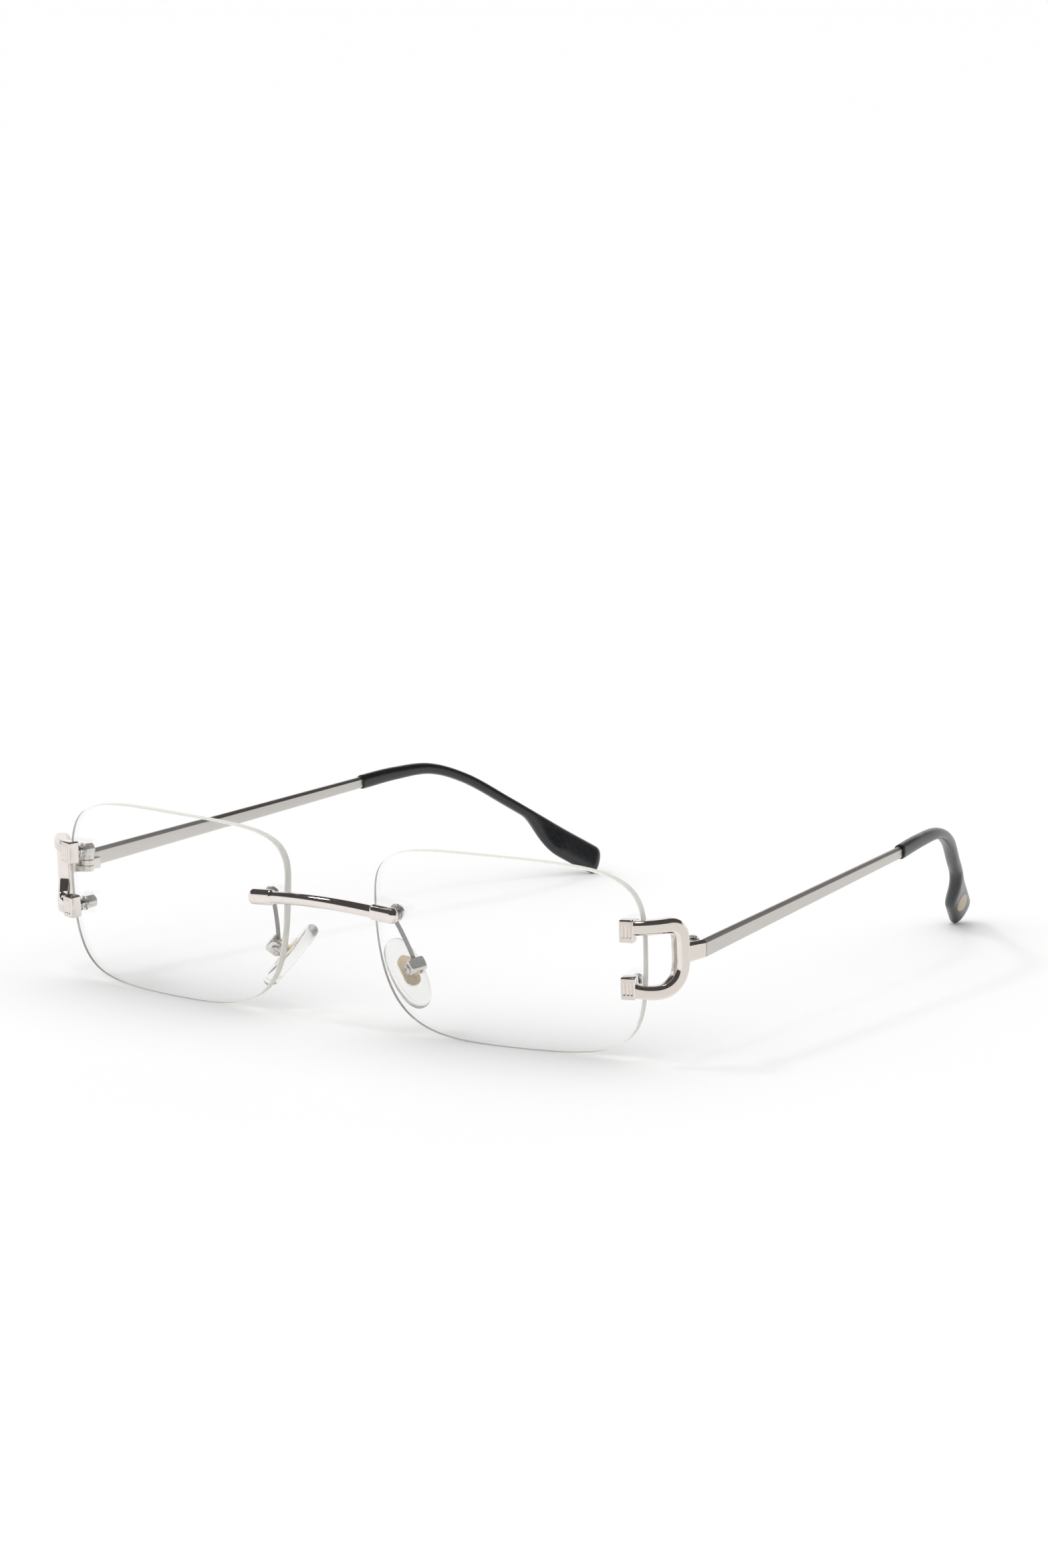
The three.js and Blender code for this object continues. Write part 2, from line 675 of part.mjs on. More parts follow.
// A stud through the lens with its washers and nut, from the piece in front to the nut behind.
function addStud(group, name, place, size) {
  const frame = lensFrame.clone().multiply(studFrame(place));
  const behind = lens.thickness + FIT;
  const nutFrom = behind + size.washer.thickness + FIT + size.packing;
  const bore = studs.radius + FIT;
  const { radius, thickness } = size.washer;
  const stud = rod(studs.radius, -size.grip, nutFrom + size.nutLength + 0.15);
  const frontWasher = tube(radius, bore, 2 * FIT - thickness, -FIT);
  const backWasher = tube(radius, bore, behind, behind + thickness - FIT);
  const nut = tube(size.nutRadius, bore, nutFrom, nutFrom + size.nutLength);
  addPair(group, `${name}_stud`, stud, materials.steel, frame);
  addPair(group, `${name}_front_washer`, frontWasher, materials.silicone, frame);
  addPair(group, `${name}_back_washer`, backWasher, materials.silicone, frame);
  addPair(group, `${name}_nut`, nut, materials.steel, frame);
}

const glasses = new THREE.Group();

addPair(glasses, 'lens', lensBody(), materials.clearLens, lensFrame);

const bridgeBarMesh = new THREE.Mesh(bridgeBar(), materials.polished);
bridgeBarMesh.name = 'bridge_bar';
glasses.add(bridgeBarMesh);
addPair(glasses, 'bridge_lug', bridgeLug(), materials.polished);
addStud(glasses, 'bridge', studs.bridge, {
  washer, grip: 1.8, packing: eyelet.thickness + FIT, nutRadius: 1.2, nutLength: 0.75,
});

addPair(glasses, 'pad_arm', padArm(), materials.steel);
addPair(glasses, 'pad_box', padBox(), materials.polished, padFrame);
addPair(glasses, 'pad_screw', padScrew(), materials.steel, padFrame);
addPair(glasses, 'pad_core', padCore(), materials.gold, padFrame);
addPair(glasses, 'nose_pad', nosePad(), materials.silicone, padFrame);

addPair(glasses, 'end_bracket', endBracket(), materials.polished);
for (const level of ['upper', 'lower']) {
  addStud(glasses, `bracket_${level}`, studs[level], {
    washer: bracketWasher, grip: 1.5, packing: 0, nutRadius: 1.15, nutLength: 1.9,
  });
}

addPair(glasses, 'hinge_front_leaf', hingeFrontLeaf(), materials.satin);
addPair(glasses, 'hinge_screw', hingeScrew(), materials.steel);
addPair(glasses, 'hinge_rear_leaf', hingeRearLeaf(), materials.satin);
addPair(glasses, 'temple_bar', templeBar(), materials.satin);
addPair(glasses, 'temple_tip', templeTip(), materials.black);
addPair(glasses, 'tip_inlay', tipInlay(), materials.gold);

// The origin is on the table, at the middle of the whole length.
const box = new THREE.Box3().setFromObject(glasses, true);
glasses.position.set(0, -(box.min.y + box.max.y) / 2, -box.min.z);

export default glasses;
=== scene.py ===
import json
import math

import bmesh
import bpy
from mathutils import Matrix, Vector


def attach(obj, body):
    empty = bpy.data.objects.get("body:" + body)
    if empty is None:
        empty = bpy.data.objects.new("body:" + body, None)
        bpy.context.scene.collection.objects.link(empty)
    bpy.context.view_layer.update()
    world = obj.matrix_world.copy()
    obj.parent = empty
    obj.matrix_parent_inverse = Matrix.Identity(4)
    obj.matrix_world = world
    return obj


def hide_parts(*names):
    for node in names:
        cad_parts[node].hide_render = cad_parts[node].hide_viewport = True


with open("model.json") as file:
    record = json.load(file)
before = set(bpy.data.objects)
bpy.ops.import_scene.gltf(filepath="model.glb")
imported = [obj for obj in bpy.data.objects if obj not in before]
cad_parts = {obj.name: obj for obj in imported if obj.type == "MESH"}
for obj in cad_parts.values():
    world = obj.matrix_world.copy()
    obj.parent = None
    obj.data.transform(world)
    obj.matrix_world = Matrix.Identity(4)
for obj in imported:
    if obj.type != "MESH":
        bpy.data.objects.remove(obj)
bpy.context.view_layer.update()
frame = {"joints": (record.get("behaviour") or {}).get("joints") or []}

# Shapes are drawn in millimetres: +X to the wearer's left, +Y back along the temples, +Z up.
# Every paired piece is drawn once, for the wearer's left, and mirrored for the right.
MM = 0.001
FIT = 0.05                   # clearance between pieces that touch
EDGE = 0.06                  # the softening of a turned piece's rims
FACETS = 40                  # round a small fastener
COARSE_FACETS = 24           # round a bore or a thin rod
SHARP_ANGLE = math.radians(35)
ALONG_X = Vector((1, 0, 0))
ALONG_Y = Vector((0, 1, 0))
ALONG_Z = Vector((0, 0, 1))

# ------------------------------------------------------------------ driving dimensions
HINGE = Vector((68.15, 15.9, 19.75))
HINGE_RADIUS = 1.2
HINGE_HEIGHT = 3.3
PIN_RADIUS = 0.5
FRONT_LEAF_THICKNESS = 0.5
FRONT_LEAF_FROM, FRONT_LEAF_TO = -3.3, -1.1
REAR_LEAF_THICKNESS = 1.2
REAR_LEAF_FROM, REAR_LEAF_TO = 1.35, 3.6
REAR_LEAF_TOP = 0.5

LENS_CENTRE = Vector((38.4, 0, 16.84))
LENS_THICKNESS = 1.7
LENS_RADIUS = 124
LENS_WRAP = math.radians(6.4)
LENS_TILT = math.radians(4)
LENS_BEVEL = 0.12
# The outline's extreme points, seen along the lens axis with the nose to the left, and their handles.
LENS_OUTER = (26.8, 3.9)
LENS_TOP = (-0.5, 17.95)
LENS_NOSE = (-28.2, 8.9)
LENS_BOTTOM = (0.9, -16.95)
OUTER_UP, OUTER_DOWN = 11, 20.5
TOP_LEFT, TOP_RIGHT = 20.5, 24.7
NOSE_UP, NOSE_DOWN = 8.6, 26
BOTTOM_LEFT, BOTTOM_RIGHT = 19.5, 22

STUD_RADIUS = 0.5
LENS_HOLE_RADIUS = 0.6
BRIDGE_STUD = (-24.3, 5.2)
UPPER_STUD = (24.5, 7)
LOWER_STUD = (24.5, -3.2)
BRIDGE_WASHER = 0.35
EYELET_RADIUS, EYELET_DEPTH = 1.6, 0.35

BRIDGE_SEAM_X = 11.2
BRIDGE_END_X = 16.6
BRIDGE_MIDDLE = Vector((0, -3.5, 23.1))
BRIDGE_SEAM = Vector((BRIDGE_SEAM_X, -2.35, 22.4))
BRIDGE_END = Vector((BRIDGE_END_X, -2.25, 22.05))
BRIDGE_HEIGHT = 2.25
BRIDGE_DEPTH = 2.15
LUG_HEIGHT = 2.9
LUG_DEPTH = 2.2

BRACKET_RADIUS = 10.4
BRACKET_WASHER = 0.45
BRACKET_DEPTH = 2.1
UPPER_ARM_HEIGHT = 2.6
LOWER_ARM_HEIGHT = 2.45
SWELL_HEIGHT, SWELL_DEPTH = 0.25, 0.5
UPPER_ARM_V = 7.65
LOWER_ARM_V = -4.05
SIDE_BAR_S = 9.8
CAP_WIDTH, CAP_HEIGHT, CAP_DEPTH = 2.7, 4.1, 2.35
GROOVE_RADIUS, GROOVE_DEPTH, GROOVE_SPACING = 0.25, 0.17, 0.68
STUB_START_Y = 10.5

BAR_START = Vector((70.3, 15.97, 19.75))
BAR_END = Vector((62.4, 92.4, 24.1))
BAR_START_HEIGHT, BAR_END_HEIGHT = 3.25, 2.1
BAR_START_WIDTH, BAR_END_WIDTH = 1.55, 1.35
BAR_DIRECTION = (BAR_END - BAR_START).normalized()
CORE_RADIUS = 0.55
CORE_LENGTH = 9

SLEEVE_HEIGHT, SLEEVE_WIDTH = 2.75, 2.35
DROP_HEIGHT, DROP_WIDTH = 2, 2.6
PADDLE_HEIGHT, PADDLE_WIDTH = 6, 2.7
PADDLE_TWIST = math.radians(26)
INLAY_LENGTH, INLAY_WIDTH, INLAY_DEPTH = 5.4, 3.4, 0.6
# Where along the tip, from 0 to 1, its shape changes and the inlay sits.
DROP_TO = 0.4
FLARE_FROM, FLARE_TO = 0.68, 0.85
INLAY_AT = 0.89
END_ROUND_FROM, END_ROUND_REACH = 0.97, 0.0308

# The nose pad's own axes: along is its length, pointing down, across points back, out faces the lens.
PAD_CENTRE = Vector((13.4, 6.1, 10.2))
PAD_ALONG = Vector((0.617, -0.173, -0.763)).normalized()
PAD_OUT = Vector((0.632, -0.469, 0.6175)).normalized()
PAD_LENGTH, PAD_WIDTH, PAD_THICKNESS = 14.4, 6.5, 2.3
PAD_RIM = 0.62
PLATE_LENGTH, PLATE_WIDTH, PLATE_DEPTH = 6.2, 3, 0.7
PAD_SCREW = Vector((0.4, 0.7, 2.75))
PAD_SCREW_RADIUS = 0.45
PAD_LUG_RADIUS, PAD_LUG_THICKNESS = 1.05, 1.2
BOX_LENGTH, BOX_WIDTH, BOX_ROOF = 3.1, 2.7, 0.65
WIRE = 0.8

# The camera looks across the object from its front left and a little above.
VIEW_AZIMUTH = math.radians(35.519)
VIEW_ELEVATION = math.radians(10.35)
VIEW_ASIDE, VIEW_UP, VIEW_DISTANCE = 34.915, 43.4, 1300.99
FOCAL_LENGTH = 165.19

WALL_COLOR = (1, 1, 1)
CEILING_COLOR = (0.075, 0.07, 0.07)
CEILING_FROM, CEILING_TO, CEILING_TILT = 0.1, 0.28, 0.3
KEY_STRENGTH, STRIP_STRENGTH, KEY_SPREAD = 0.3, 0.15, 9
OVERHEAD_STRENGTH, OVERHEAD_SPREAD = 2.85, 130
TO_KEY = Vector((-0.57, -0.18, 0.8))
TO_STRIP = Vector((-0.05, -0.22, 0.97))
TO_OVERHEAD = Vector((-0.1, -0.2, 1))
FLOOR_HALF = 12              # metres

ORIGIN = Vector(next(
    joint["pos_m"] for joint in frame["joints"] if joint["name"] == "temple_fold_left"
)) / MM - HINGE
TO_FRAME = Matrix.Scale(MM, 4) @ Matrix.Translation(ORIGIN)


def mix(a, b, t):
    return a + (b - a) * t


def smoothstep(t, low, high):
    s = min(1, max(0, (t - low) / (high - low)))
    return s * s * (3 - 2 * s)


# ------------------------------------------------------------------ solids
def loft(rings):
    """The points and faces of a skin over rings of equally many points, with a face over each end."""
    count = len(rings[0])
    points = [point for ring in rings for point in ring]
    faces = []
    for start in range(0, count * (len(rings) - 1), count):
        for i in range(count):
            a, b = start + i, start + (i + 1) % count
            faces.append((a, b, b + count, a + count))
    faces.append(tuple(reversed(range(count))))
    faces.append(tuple(range(len(points) - count, len(points))))
    return points, faces


def solid(shape, matrix=Matrix.Identity(4)):
    """An object, in millimetres, from points and faces."""
    points, faces = shape
    mesh = bpy.data.meshes.new("solid")
    mesh.from_pydata([tuple(point) for point in points], [], faces)
    mesh.transform(matrix)
    outward = bmesh.new()
    outward.from_mesh(mesh)
    bmesh.ops.recalc_face_normals(outward, faces=outward.faces)
    outward.to_mesh(mesh)
    outward.free()
    obj = bpy.data.objects.new("solid", mesh)
    bpy.context.scene.collection.objects.link(obj)
    return obj


def applied(obj):
    """obj with its modifiers made part of its mesh."""
    bpy.context.view_layer.update()
    graph = bpy.context.evaluated_depsgraph_get()
    mesh = bpy.data.meshes.new_from_object(obj.evaluated_get(graph))
    obj.modifiers.clear()
    obj.data = mesh
    return obj


def combined(base, operation, *tools):
    for tool in tools:
        modifier = base.modifiers.new(operation, "BOOLEAN")
        modifier.operation = operation
        modifier.solver = "EXACT"
        modifier.object = tool
        applied(base)
        bpy.data.objects.remove(tool)
    return base


def two_tone(obj, first, second, is_first):
    """obj with the first material on the faces that is_first picks, and the second on the others."""
    obj.data.materials.append(first)
    obj.data.materials.append(second)
    for face in obj.data.polygons:
        face.material_index = 0 if is_first(face) else 1
    return obj


def cut(base, *tools):
    return combined(base, "DIFFERENCE", *tools)


def joined(base, *tools):
    return combined(base, "UNION", *tools)


def bevelled(obj, width, segments=3, angle=30):
    modifier = obj.modifiers.new("bevel", "BEVEL")
    modifier.width = width
    modifier.segments = segments
    modifier.angle_limit = math.radians(angle)
    modifier.use_clamp_overlap = True
    return applied(obj)


def turned(profile, facets=FACETS):
    """A solid of revolution about Y, from its (radius, height) profile between two points on the axis."""
    points = [Vector((0, profile[0][1], 0)), Vector((0, profile[-1][1], 0))]
    faces = []
    for radius, height in profile[1:-1]:
        for i in range(facets):
            angle = 2 * math.pi * i / facets
            points.append(Vector((radius * math.cos(angle), height, radius * math.sin(angle))))
    last = 2 + facets * (len(profile) - 3)
    for i in range(facets):
        k = (i + 1) % facets
        faces.append((0, 2 + i, 2 + k))
        faces.append((1, last + k, last + i))
        for start in range(2, last, facets):
            faces.append((start + i, start + facets + i, start + facets + k, start + k))
    return points, faces


def rod(radius, start, end, edge=EDGE, facets=FACETS):
    """A cylinder along Y with softened ends."""
    return turned([
        (0, start), (radius - edge, start), (radius, start + edge),
        (radius, end - edge), (radius - edge, end), (0, end),
    ], facets)


def ring(outer, inner, start, end):
    """A washer along Y with softened rims."""
    corners = [
        (inner, start), (outer - EDGE, start), (outer, start + EDGE),
        (outer, end - EDGE), (outer - EDGE, end), (inner, end),
    ]
    points = []
    faces = []
    for i in range(FACETS):
        angle = 2 * math.pi * i / FACETS
        points += [Vector((r * math.cos(angle), y, r * math.sin(angle))) for r, y in corners]
    count = len(corners)
    for i in range(FACETS):
        here, there = i * count, (i + 1) % FACETS * count
        for k in range(count):
            m = (k + 1) % count
            faces.append((here + k, here + m, there + m, there + k))
    return points, faces


def block(low, high):
    """A box between two opposite corners."""
    (x0, y0, z0), (x1, y1, z1) = low, high
    corners = [(x0, y0), (x1, y0), (x1, y1), (x0, y1)]
    return loft([[Vector((x, y, z)) for x, y in corners] for z in (z0, z1)])


# ------------------------------------------------------------------ cross-sections
def oval(width, height, power, count=40):
    """A superellipse: an ellipse for power 2, and squarer for higher powers."""
    section = []
    for i in range(count):
        angle = 2 * math.pi * (i + 0.5) / count
        c, s = math.cos(angle), math.sin(angle)
        section.append((
            math.copysign(abs(c) ** (2 / power), c) * width / 2,
            math.copysign(abs(s) ** (2 / power), s) * height / 2,
        ))
    return section


def chamfered(width, height, upper, lower):
    """A rectangle with its upper corners cut by one chamfer and its lower corners by another."""
    x, y = width / 2, height / 2
    return [
        (x, -y + lower), (x, y - upper), (x - upper, y), (-x + upper, y),
        (-x, y - upper), (-x, -y + lower), (-x + lower, -y), (x - lower, -y),
    ]


def softened(section, radius=0.07, steps=3):
    """The section with each corner rounded a little."""
    corners = [Vector(point) for point in section]
    out = []
    for i, corner in enumerate(corners):
        before = (corners[i - 1] - corner).normalized() * radius
        after = (corners[(i + 1) % len(corners)] - corner).normalized() * radius
        for k in range(steps + 1):
            t = k / steps
            out.append(corner + before * (1 - t) ** 2 + after * t ** 2)
    return [tuple(point) for point in out]


def ring_at(section, at, side, up):
    """The section's points in space, drawn about a place along two directions."""
    return [at + side * x + up * y for x, y in section]


# ------------------------------------------------------------------ curves
def bezier(a, b, c, d, t):
    s = 1 - t
    return a * s ** 3 + b * 3 * s * s * t + c * 3 * s * t * t + d * t ** 3


def straight(start, end):
    """The four points of a Bezier curve that runs straight."""
    return start, start.lerp(end, 1 / 3), start.lerp(end, 2 / 3), end


def chained(curves):
    """One curve of t, from 0 to 1, along Bezier curves that follow each other."""
    count = len(curves)

    def at(t):
        i = min(count - 1, int(t * count))
        return bezier(*curves[i], t * count - i)

    return at


def through(points, t):
    """The point at t, from 0 to 1, on a centripetal spline through the points."""
    ends = [points[0] * 2 - points[1], *points, points[-1] * 2 - points[-2]]
    lengths = [math.sqrt((b - a).length) for a, b in zip(points, points[1:])]
    reach = t * (len(points) - 1)
    i = min(len(points) - 2, int(reach))
    local = reach - i
    p0, p1, p2, p3 = ends[i:i + 4]
    d0 = math.sqrt((p1 - p0).length)
    d1 = lengths[i]
    d2 = math.sqrt((p3 - p2).length)
    t1 = (p1 - p0) / d0 - (p2 - p0) / (d0 + d1) + (p2 - p1) / d1
    t2 = (p2 - p1) / d1 - (p3 - p1) / (d1 + d2) + (p3 - p2) / d2
    t1, t2 = t1 * d1, t2 * d1
    a = (p1 - p2) * 2 + t1 + t2
    b = (p2 - p1) * 3 - t1 * 2 - t2
    return a * local ** 3 + b * local ** 2 + t1 * local + p1


def evenly(curve, count):
    """count + 1 points at equal distances along curve(t), with the direction at each."""
    steps = 600
    fine = [curve(i / steps) for i in range(steps + 1)]
    along = [0]
    for a, b in zip(fine, fine[1:]):
        along.append(along[-1] + (b - a).length)
    out = []
    k = 0
    for i in range(count + 1):
        want = along[-1] * i / count
        while k < steps - 1 and along[k + 1] < want:
            k += 1
        t = (want - along[k]) / (along[k + 1] - along[k])
        out.append((fine[k].lerp(fine[k + 1], min(1, t)), (fine[k + 1] - fine[k]).normalized()))
    return out


# ------------------------------------------------------------------ materials
def new_material(name, color, roughness, **settings):
    """A Principled material. Settings are socket names with spaces written as underscores."""
    material = bpy.data.materials.new(name)
    material.use_nodes = True
    shader = material.node_tree.nodes["Principled BSDF"]
    shader.inputs["Base Color"].default_value = (*color, 1)
    shader.inputs["Roughness"].default_value = roughness
    for socket, value in settings.items():
        shader.inputs[socket.replace("_", " ")].default_value = value
    return material


def add_grain(material, scale, bump, rough):
    """Noise at a scale, in marks per metre along each axis, that drives the roughness and a fine bump."""
    tree = material.node_tree
    shader = tree.nodes["Principled BSDF"]
    place = tree.nodes.new("ShaderNodeTexCoord")
    stretch = tree.nodes.new("ShaderNodeMapping")
    stretch.inputs["Scale"].default_value = scale
    noise = tree.nodes.new("ShaderNodeTexNoise")
    noise.inputs["Scale"].default_value = 1
    noise.inputs["Detail"].default_value = 3
    spread = tree.nodes.new("ShaderNodeMapRange")
    spread.inputs["From Min"].default_value = 0.3
    spread.inputs["From Max"].default_value = 0.7
    spread.inputs["To Min"].default_value, spread.inputs["To Max"].default_value = rough
    relief = tree.nodes.new("ShaderNodeBump")
    relief.inputs["Strength"].default_value = bump
    relief.inputs["Distance"].default_value = 0.02 * MM
    tree.links.new(place.outputs["Object"], stretch.inputs["Vector"])
    tree.links.new(stretch.outputs["Vector"], noise.inputs["Vector"])
    tree.links.new(noise.outputs["Fac"], spread.inputs["Value"])
    tree.links.new(spread.outputs["Result"], shader.inputs["Roughness"])
    tree.links.new(noise.outputs["Fac"], relief.inputs["Height"])
    tree.links.new(relief.outputs["Normal"], shader.inputs["Normal"])
    return noise


def add_tone(material, noise, low, high):
    """The noise also moves the colour between two tones."""
    tree = material.node_tree
    tone = tree.nodes.new("ShaderNodeValToRGB")
    tone.color_ramp.elements[0].position = 0.35
    tone.color_ramp.elements[0].color = (*low, 1)
    tone.color_ramp.elements[1].position = 0.65
    tone.color_ramp.elements[1].color = (*high, 1)
    tree.links.new(noise.outputs["Fac"], tone.inputs["Fac"])
    tree.links.new(tone.outputs["Color"], tree.nodes["Principled BSDF"].inputs["Base Color"])


def let_lamps_through(material, tint):
    """Rays to lamps pass the clear material, so that its shadow stays faint."""
    tree = material.node_tree
    rays = tree.nodes.new("ShaderNodeLightPath")
    clear = tree.nodes.new("ShaderNodeBsdfTransparent")
    clear.inputs["Color"].default_value = (*tint, 1)
    choose = tree.nodes.new("ShaderNodeMixShader")
    output = tree.nodes["Material Output"]
    tree.links.new(rays.outputs["Is Shadow Ray"], choose.inputs["Fac"])
    tree.links.new(tree.nodes["Principled BSDF"].outputs["BSDF"], choose.inputs[1])
    tree.links.new(clear.outputs["BSDF"], choose.inputs[2])
    tree.links.new(choose.outputs["Shader"], output.inputs["Surface"])


def make_metal(name, low, high, scale, bump, rough, metallic=1):
    """Metal with a fine grain between two tones. A metallic below 1 keeps it pale in dim reflections."""
    material = new_material(name, high, rough[0], Metallic=metallic)
    add_tone(material, add_grain(material, scale, bump, rough), low, high)
    return material


def make_clear(name, color, roughness, tint, ior, transmission=1):
    material = new_material(name, color, roughness, Transmission_Weight=transmission, IOR=ior)
    let_lamps_through(material, tint)
    return material


polished = make_metal(
    "polished_metal", low=(0.81, 0.755, 0.72), high=(0.84, 0.785, 0.75), scale=(900, 900, 900),
    bump=0.02, rough=(0.04, 0.09),
)
satin = make_metal(
    "satin_metal", low=(0.70, 0.655, 0.60), high=(0.73, 0.685, 0.63), scale=(1500, 1500, 1500),
    bump=0.012, rough=(0.18, 0.26),
)
bar_satin = make_metal(
    "temple_metal", low=(0.59, 0.565, 0.53), high=(0.62, 0.595, 0.56), scale=(1800, 400, 1800),
    bump=0.012, rough=(0.34, 0.42),
)
steel = make_metal(
    "fastener_steel", low=(0.74, 0.72, 0.69), high=(0.79, 0.77, 0.74), scale=(4000, 4000, 4000),
    bump=0.03, rough=(0.2, 0.3), metallic=0.75,
)
# The wire's dark tone is painted shade: it stands in for the dark surroundings that the thin wire
# reflects.
wire = make_metal(
    "wire_metal_painted_dark", low=(0.24, 0.235, 0.23), high=(0.30, 0.29, 0.28), scale=(4000, 4000, 4000),
    bump=0.03, rough=(0.14, 0.22),
)
box_metal = make_metal(
    "box_metal", low=(0.82, 0.79, 0.76), high=(0.86, 0.83, 0.80), scale=(2500, 2500, 2500),
    bump=0.02, rough=(0.12, 0.2), metallic=0.75,
)
gold = make_metal(
    "gold_plate", low=(0.94, 0.80, 0.54), high=(0.97, 0.83, 0.57), scale=(2500, 2500, 2500),
    bump=0.02, rough=(0.25, 0.34), metallic=0.15,
)
inlay_gold = make_metal(
    "inlay_gold", low=(0.42, 0.33, 0.21), high=(0.50, 0.40, 0.26), scale=(2500, 2500, 2500),
    bump=0.02, rough=(0.3, 0.4), metallic=0.6,
)
lens_face = make_clear("lens_face", (1, 1, 1), 0, tint=(0.98, 0.98, 0.98), ior=1.5)
lens_edge = make_clear(
    "lens_edge", (0.93, 0.915, 0.86), 0.35, tint=(0.9, 0.9, 0.88), ior=1.5, transmission=0.25,
)
edge_grain = add_grain(lens_edge, scale=(2000, 2000, 200), bump=0.02, rough=(0.3, 0.4))
add_tone(lens_edge, edge_grain, low=(0.86, 0.84, 0.77), high=(0.96, 0.95, 0.90))
silicone = make_clear(
    "clear_silicone", (0.97, 0.97, 0.96), 0.16, tint=(0.95, 0.95, 0.94), ior=1.41, transmission=0.94,
)
add_grain(silicone, scale=(700, 700, 700), bump=0.05, rough=(0.14, 0.24))
washer_clear = make_clear("clear_washer", (0.95, 0.96, 0.95), 0.1, tint=(0.93, 0.93, 0.93), ior=1.49)
add_grain(washer_clear, scale=(2500, 2500, 2500), bump=0.05, rough=(0.06, 0.16))
black = new_material("black_acetate", (0.014, 0.015, 0.017), 0.34, Coat_Weight=0.25, Coat_Roughness=0.2)
black_grain = add_grain(black, scale=(1400, 1400, 1400), bump=0.05, rough=(0.26, 0.36))
add_tone(black, black_grain, low=(0.007, 0.008, 0.009), high=(0.012, 0.013, 0.015))


# ------------------------------------------------------------------ pieces
def add_piece(obj, material, body, node, mirrored=False):
    """A finished piece in the frame, riding on its body in place of its CAD node.

    A mesh that has its materials already comes with None as the material.
    """
    name = f"fine_{node}"
    mesh = obj.data.copy()
    mesh.name = name
    if mirrored:
        mesh.transform(Matrix.Scale(-1, 4, ALONG_X))
        mesh.flip_normals()
    mesh.transform(TO_FRAME)
    if material:
        mesh.materials.append(material)
    mesh.shade_smooth()
    mesh.set_sharp_from_angle(angle=SHARP_ANGLE)
    piece = bpy.data.objects.new(name, mesh)
    bpy.context.scene.collection.objects.link(piece)
    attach(piece, body)
    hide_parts(node)


def add_pair(name, obj, material, body="front"):
    """The piece on the left and its mirror image on the right."""
    for side in ("left", "right"):
        side_body = body if body == "front" else f"{body}_{side}"
        add_piece(obj, material, side_body, f"{name}_{side}", mirrored=side == "right")
    bpy.data.objects.remove(obj)


# ------------------------------------------------------------------ lens
LENS_FRAME = (
    Matrix.Translation(LENS_CENTRE)
    @ Matrix.Rotation(LENS_TILT, 4, "X")
    @ Matrix.Rotation(LENS_WRAP, 4, "Z")
)


def lens_surface(u, v, depth=0):
    """The point at a depth behind the lens front, with u across and v up from the lens centre."""
    return Vector((u, (u * u + v * v) / (2 * LENS_RADIUS) + depth, v))


def lens_outline(count):
    outer, top, nose, bottom = map(Vector, (LENS_OUTER, LENS_TOP, LENS_NOSE, LENS_BOTTOM))
    curves = [
        (outer, outer + Vector((0, OUTER_UP)), top + Vector((TOP_RIGHT, 0)), top),
        (top, top - Vector((TOP_LEFT, 0)), nose + Vector((0, NOSE_UP)), nose),
        (nose, nose - Vector((0, NOSE_DOWN)), bottom - Vector((BOTTOM_LEFT, 0)), bottom),
        (bottom, bottom + Vector((BOTTOM_RIGHT, 0)), outer - Vector((0, OUTER_DOWN)), outer),
    ]
    return [point for point, _ in evenly(chained(curves), count)[:-1]]


def stud_frame(stud):
    """A frame on the lens front at a stud: Y points back through the lens, square to its surface."""
    u, v = stud
    back = Vector((-u / LENS_RADIUS, 1, -v / LENS_RADIUS)).normalized()
    across = back.cross(ALONG_Z).normalized()
    up = across.cross(back)
    turn = Matrix((across, back, up)).transposed().to_4x4()
    return LENS_FRAME @ Matrix.Translation(lens_surface(u, v)) @ turn


def stud_bore(stud, radius, start, end):
    return solid(rod(radius, start, end, facets=COARSE_FACETS), stud_frame(stud))


def lens_body():
    outline = lens_outline(220)
    inset = 1 - LENS_BEVEL / LENS_OUTER[0]
    radial = [0.02, 0.15, 0.3, 0.45, 0.6, 0.72, 0.82, 0.9, 0.96, inset]

    def ring_of(scale, depth):
        return [lens_surface(p.x * scale, p.y * scale, depth) for p in outline]

    rings = [ring_of(scale, 0) for scale in radial]
    edge_depths = (LENS_BEVEL, LENS_THICKNESS / 2, LENS_THICKNESS - LENS_BEVEL)
    rings += [ring_of(1, depth) for depth in edge_depths]
    rings += [ring_of(scale, LENS_THICKNESS) for scale in reversed(radial)]
    body = solid(loft(rings), LENS_FRAME)
    body.data.materials.append(lens_face)
    body.data.materials.append(lens_edge)
    first_edge = len(outline) * (len(radial) - 1)
    edge_count = len(outline) * (len(edge_depths) + 1)
    for face in body.data.polygons[first_edge:first_edge + edge_count]:
        face.material_index = 1
    studs = (BRIDGE_STUD, UPPER_STUD, LOWER_STUD)
    return cut(body, *[stud_bore(stud, LENS_HOLE_RADIUS, -1, LENS_THICKNESS + 1) for stud in studs])


# ------------------------------------------------------------------ bridge
def bridge_centre(x):
    """The bridge bows forward and up between the seams and runs straight through the lugs."""
    reach = abs(x)
    if reach > BRIDGE_SEAM_X:
        t = (reach - BRIDGE_SEAM_X) / (BRIDGE_END_X - BRIDGE_SEAM_X)
        low, high = BRIDGE_SEAM, BRIDGE_END
    else:
        t = (reach / BRIDGE_SEAM_X) ** 2
        low, high = BRIDGE_MIDDLE, BRIDGE_SEAM
    return Vector((x, mix(low.y, high.y, t), mix(low.z, high.z, t)))


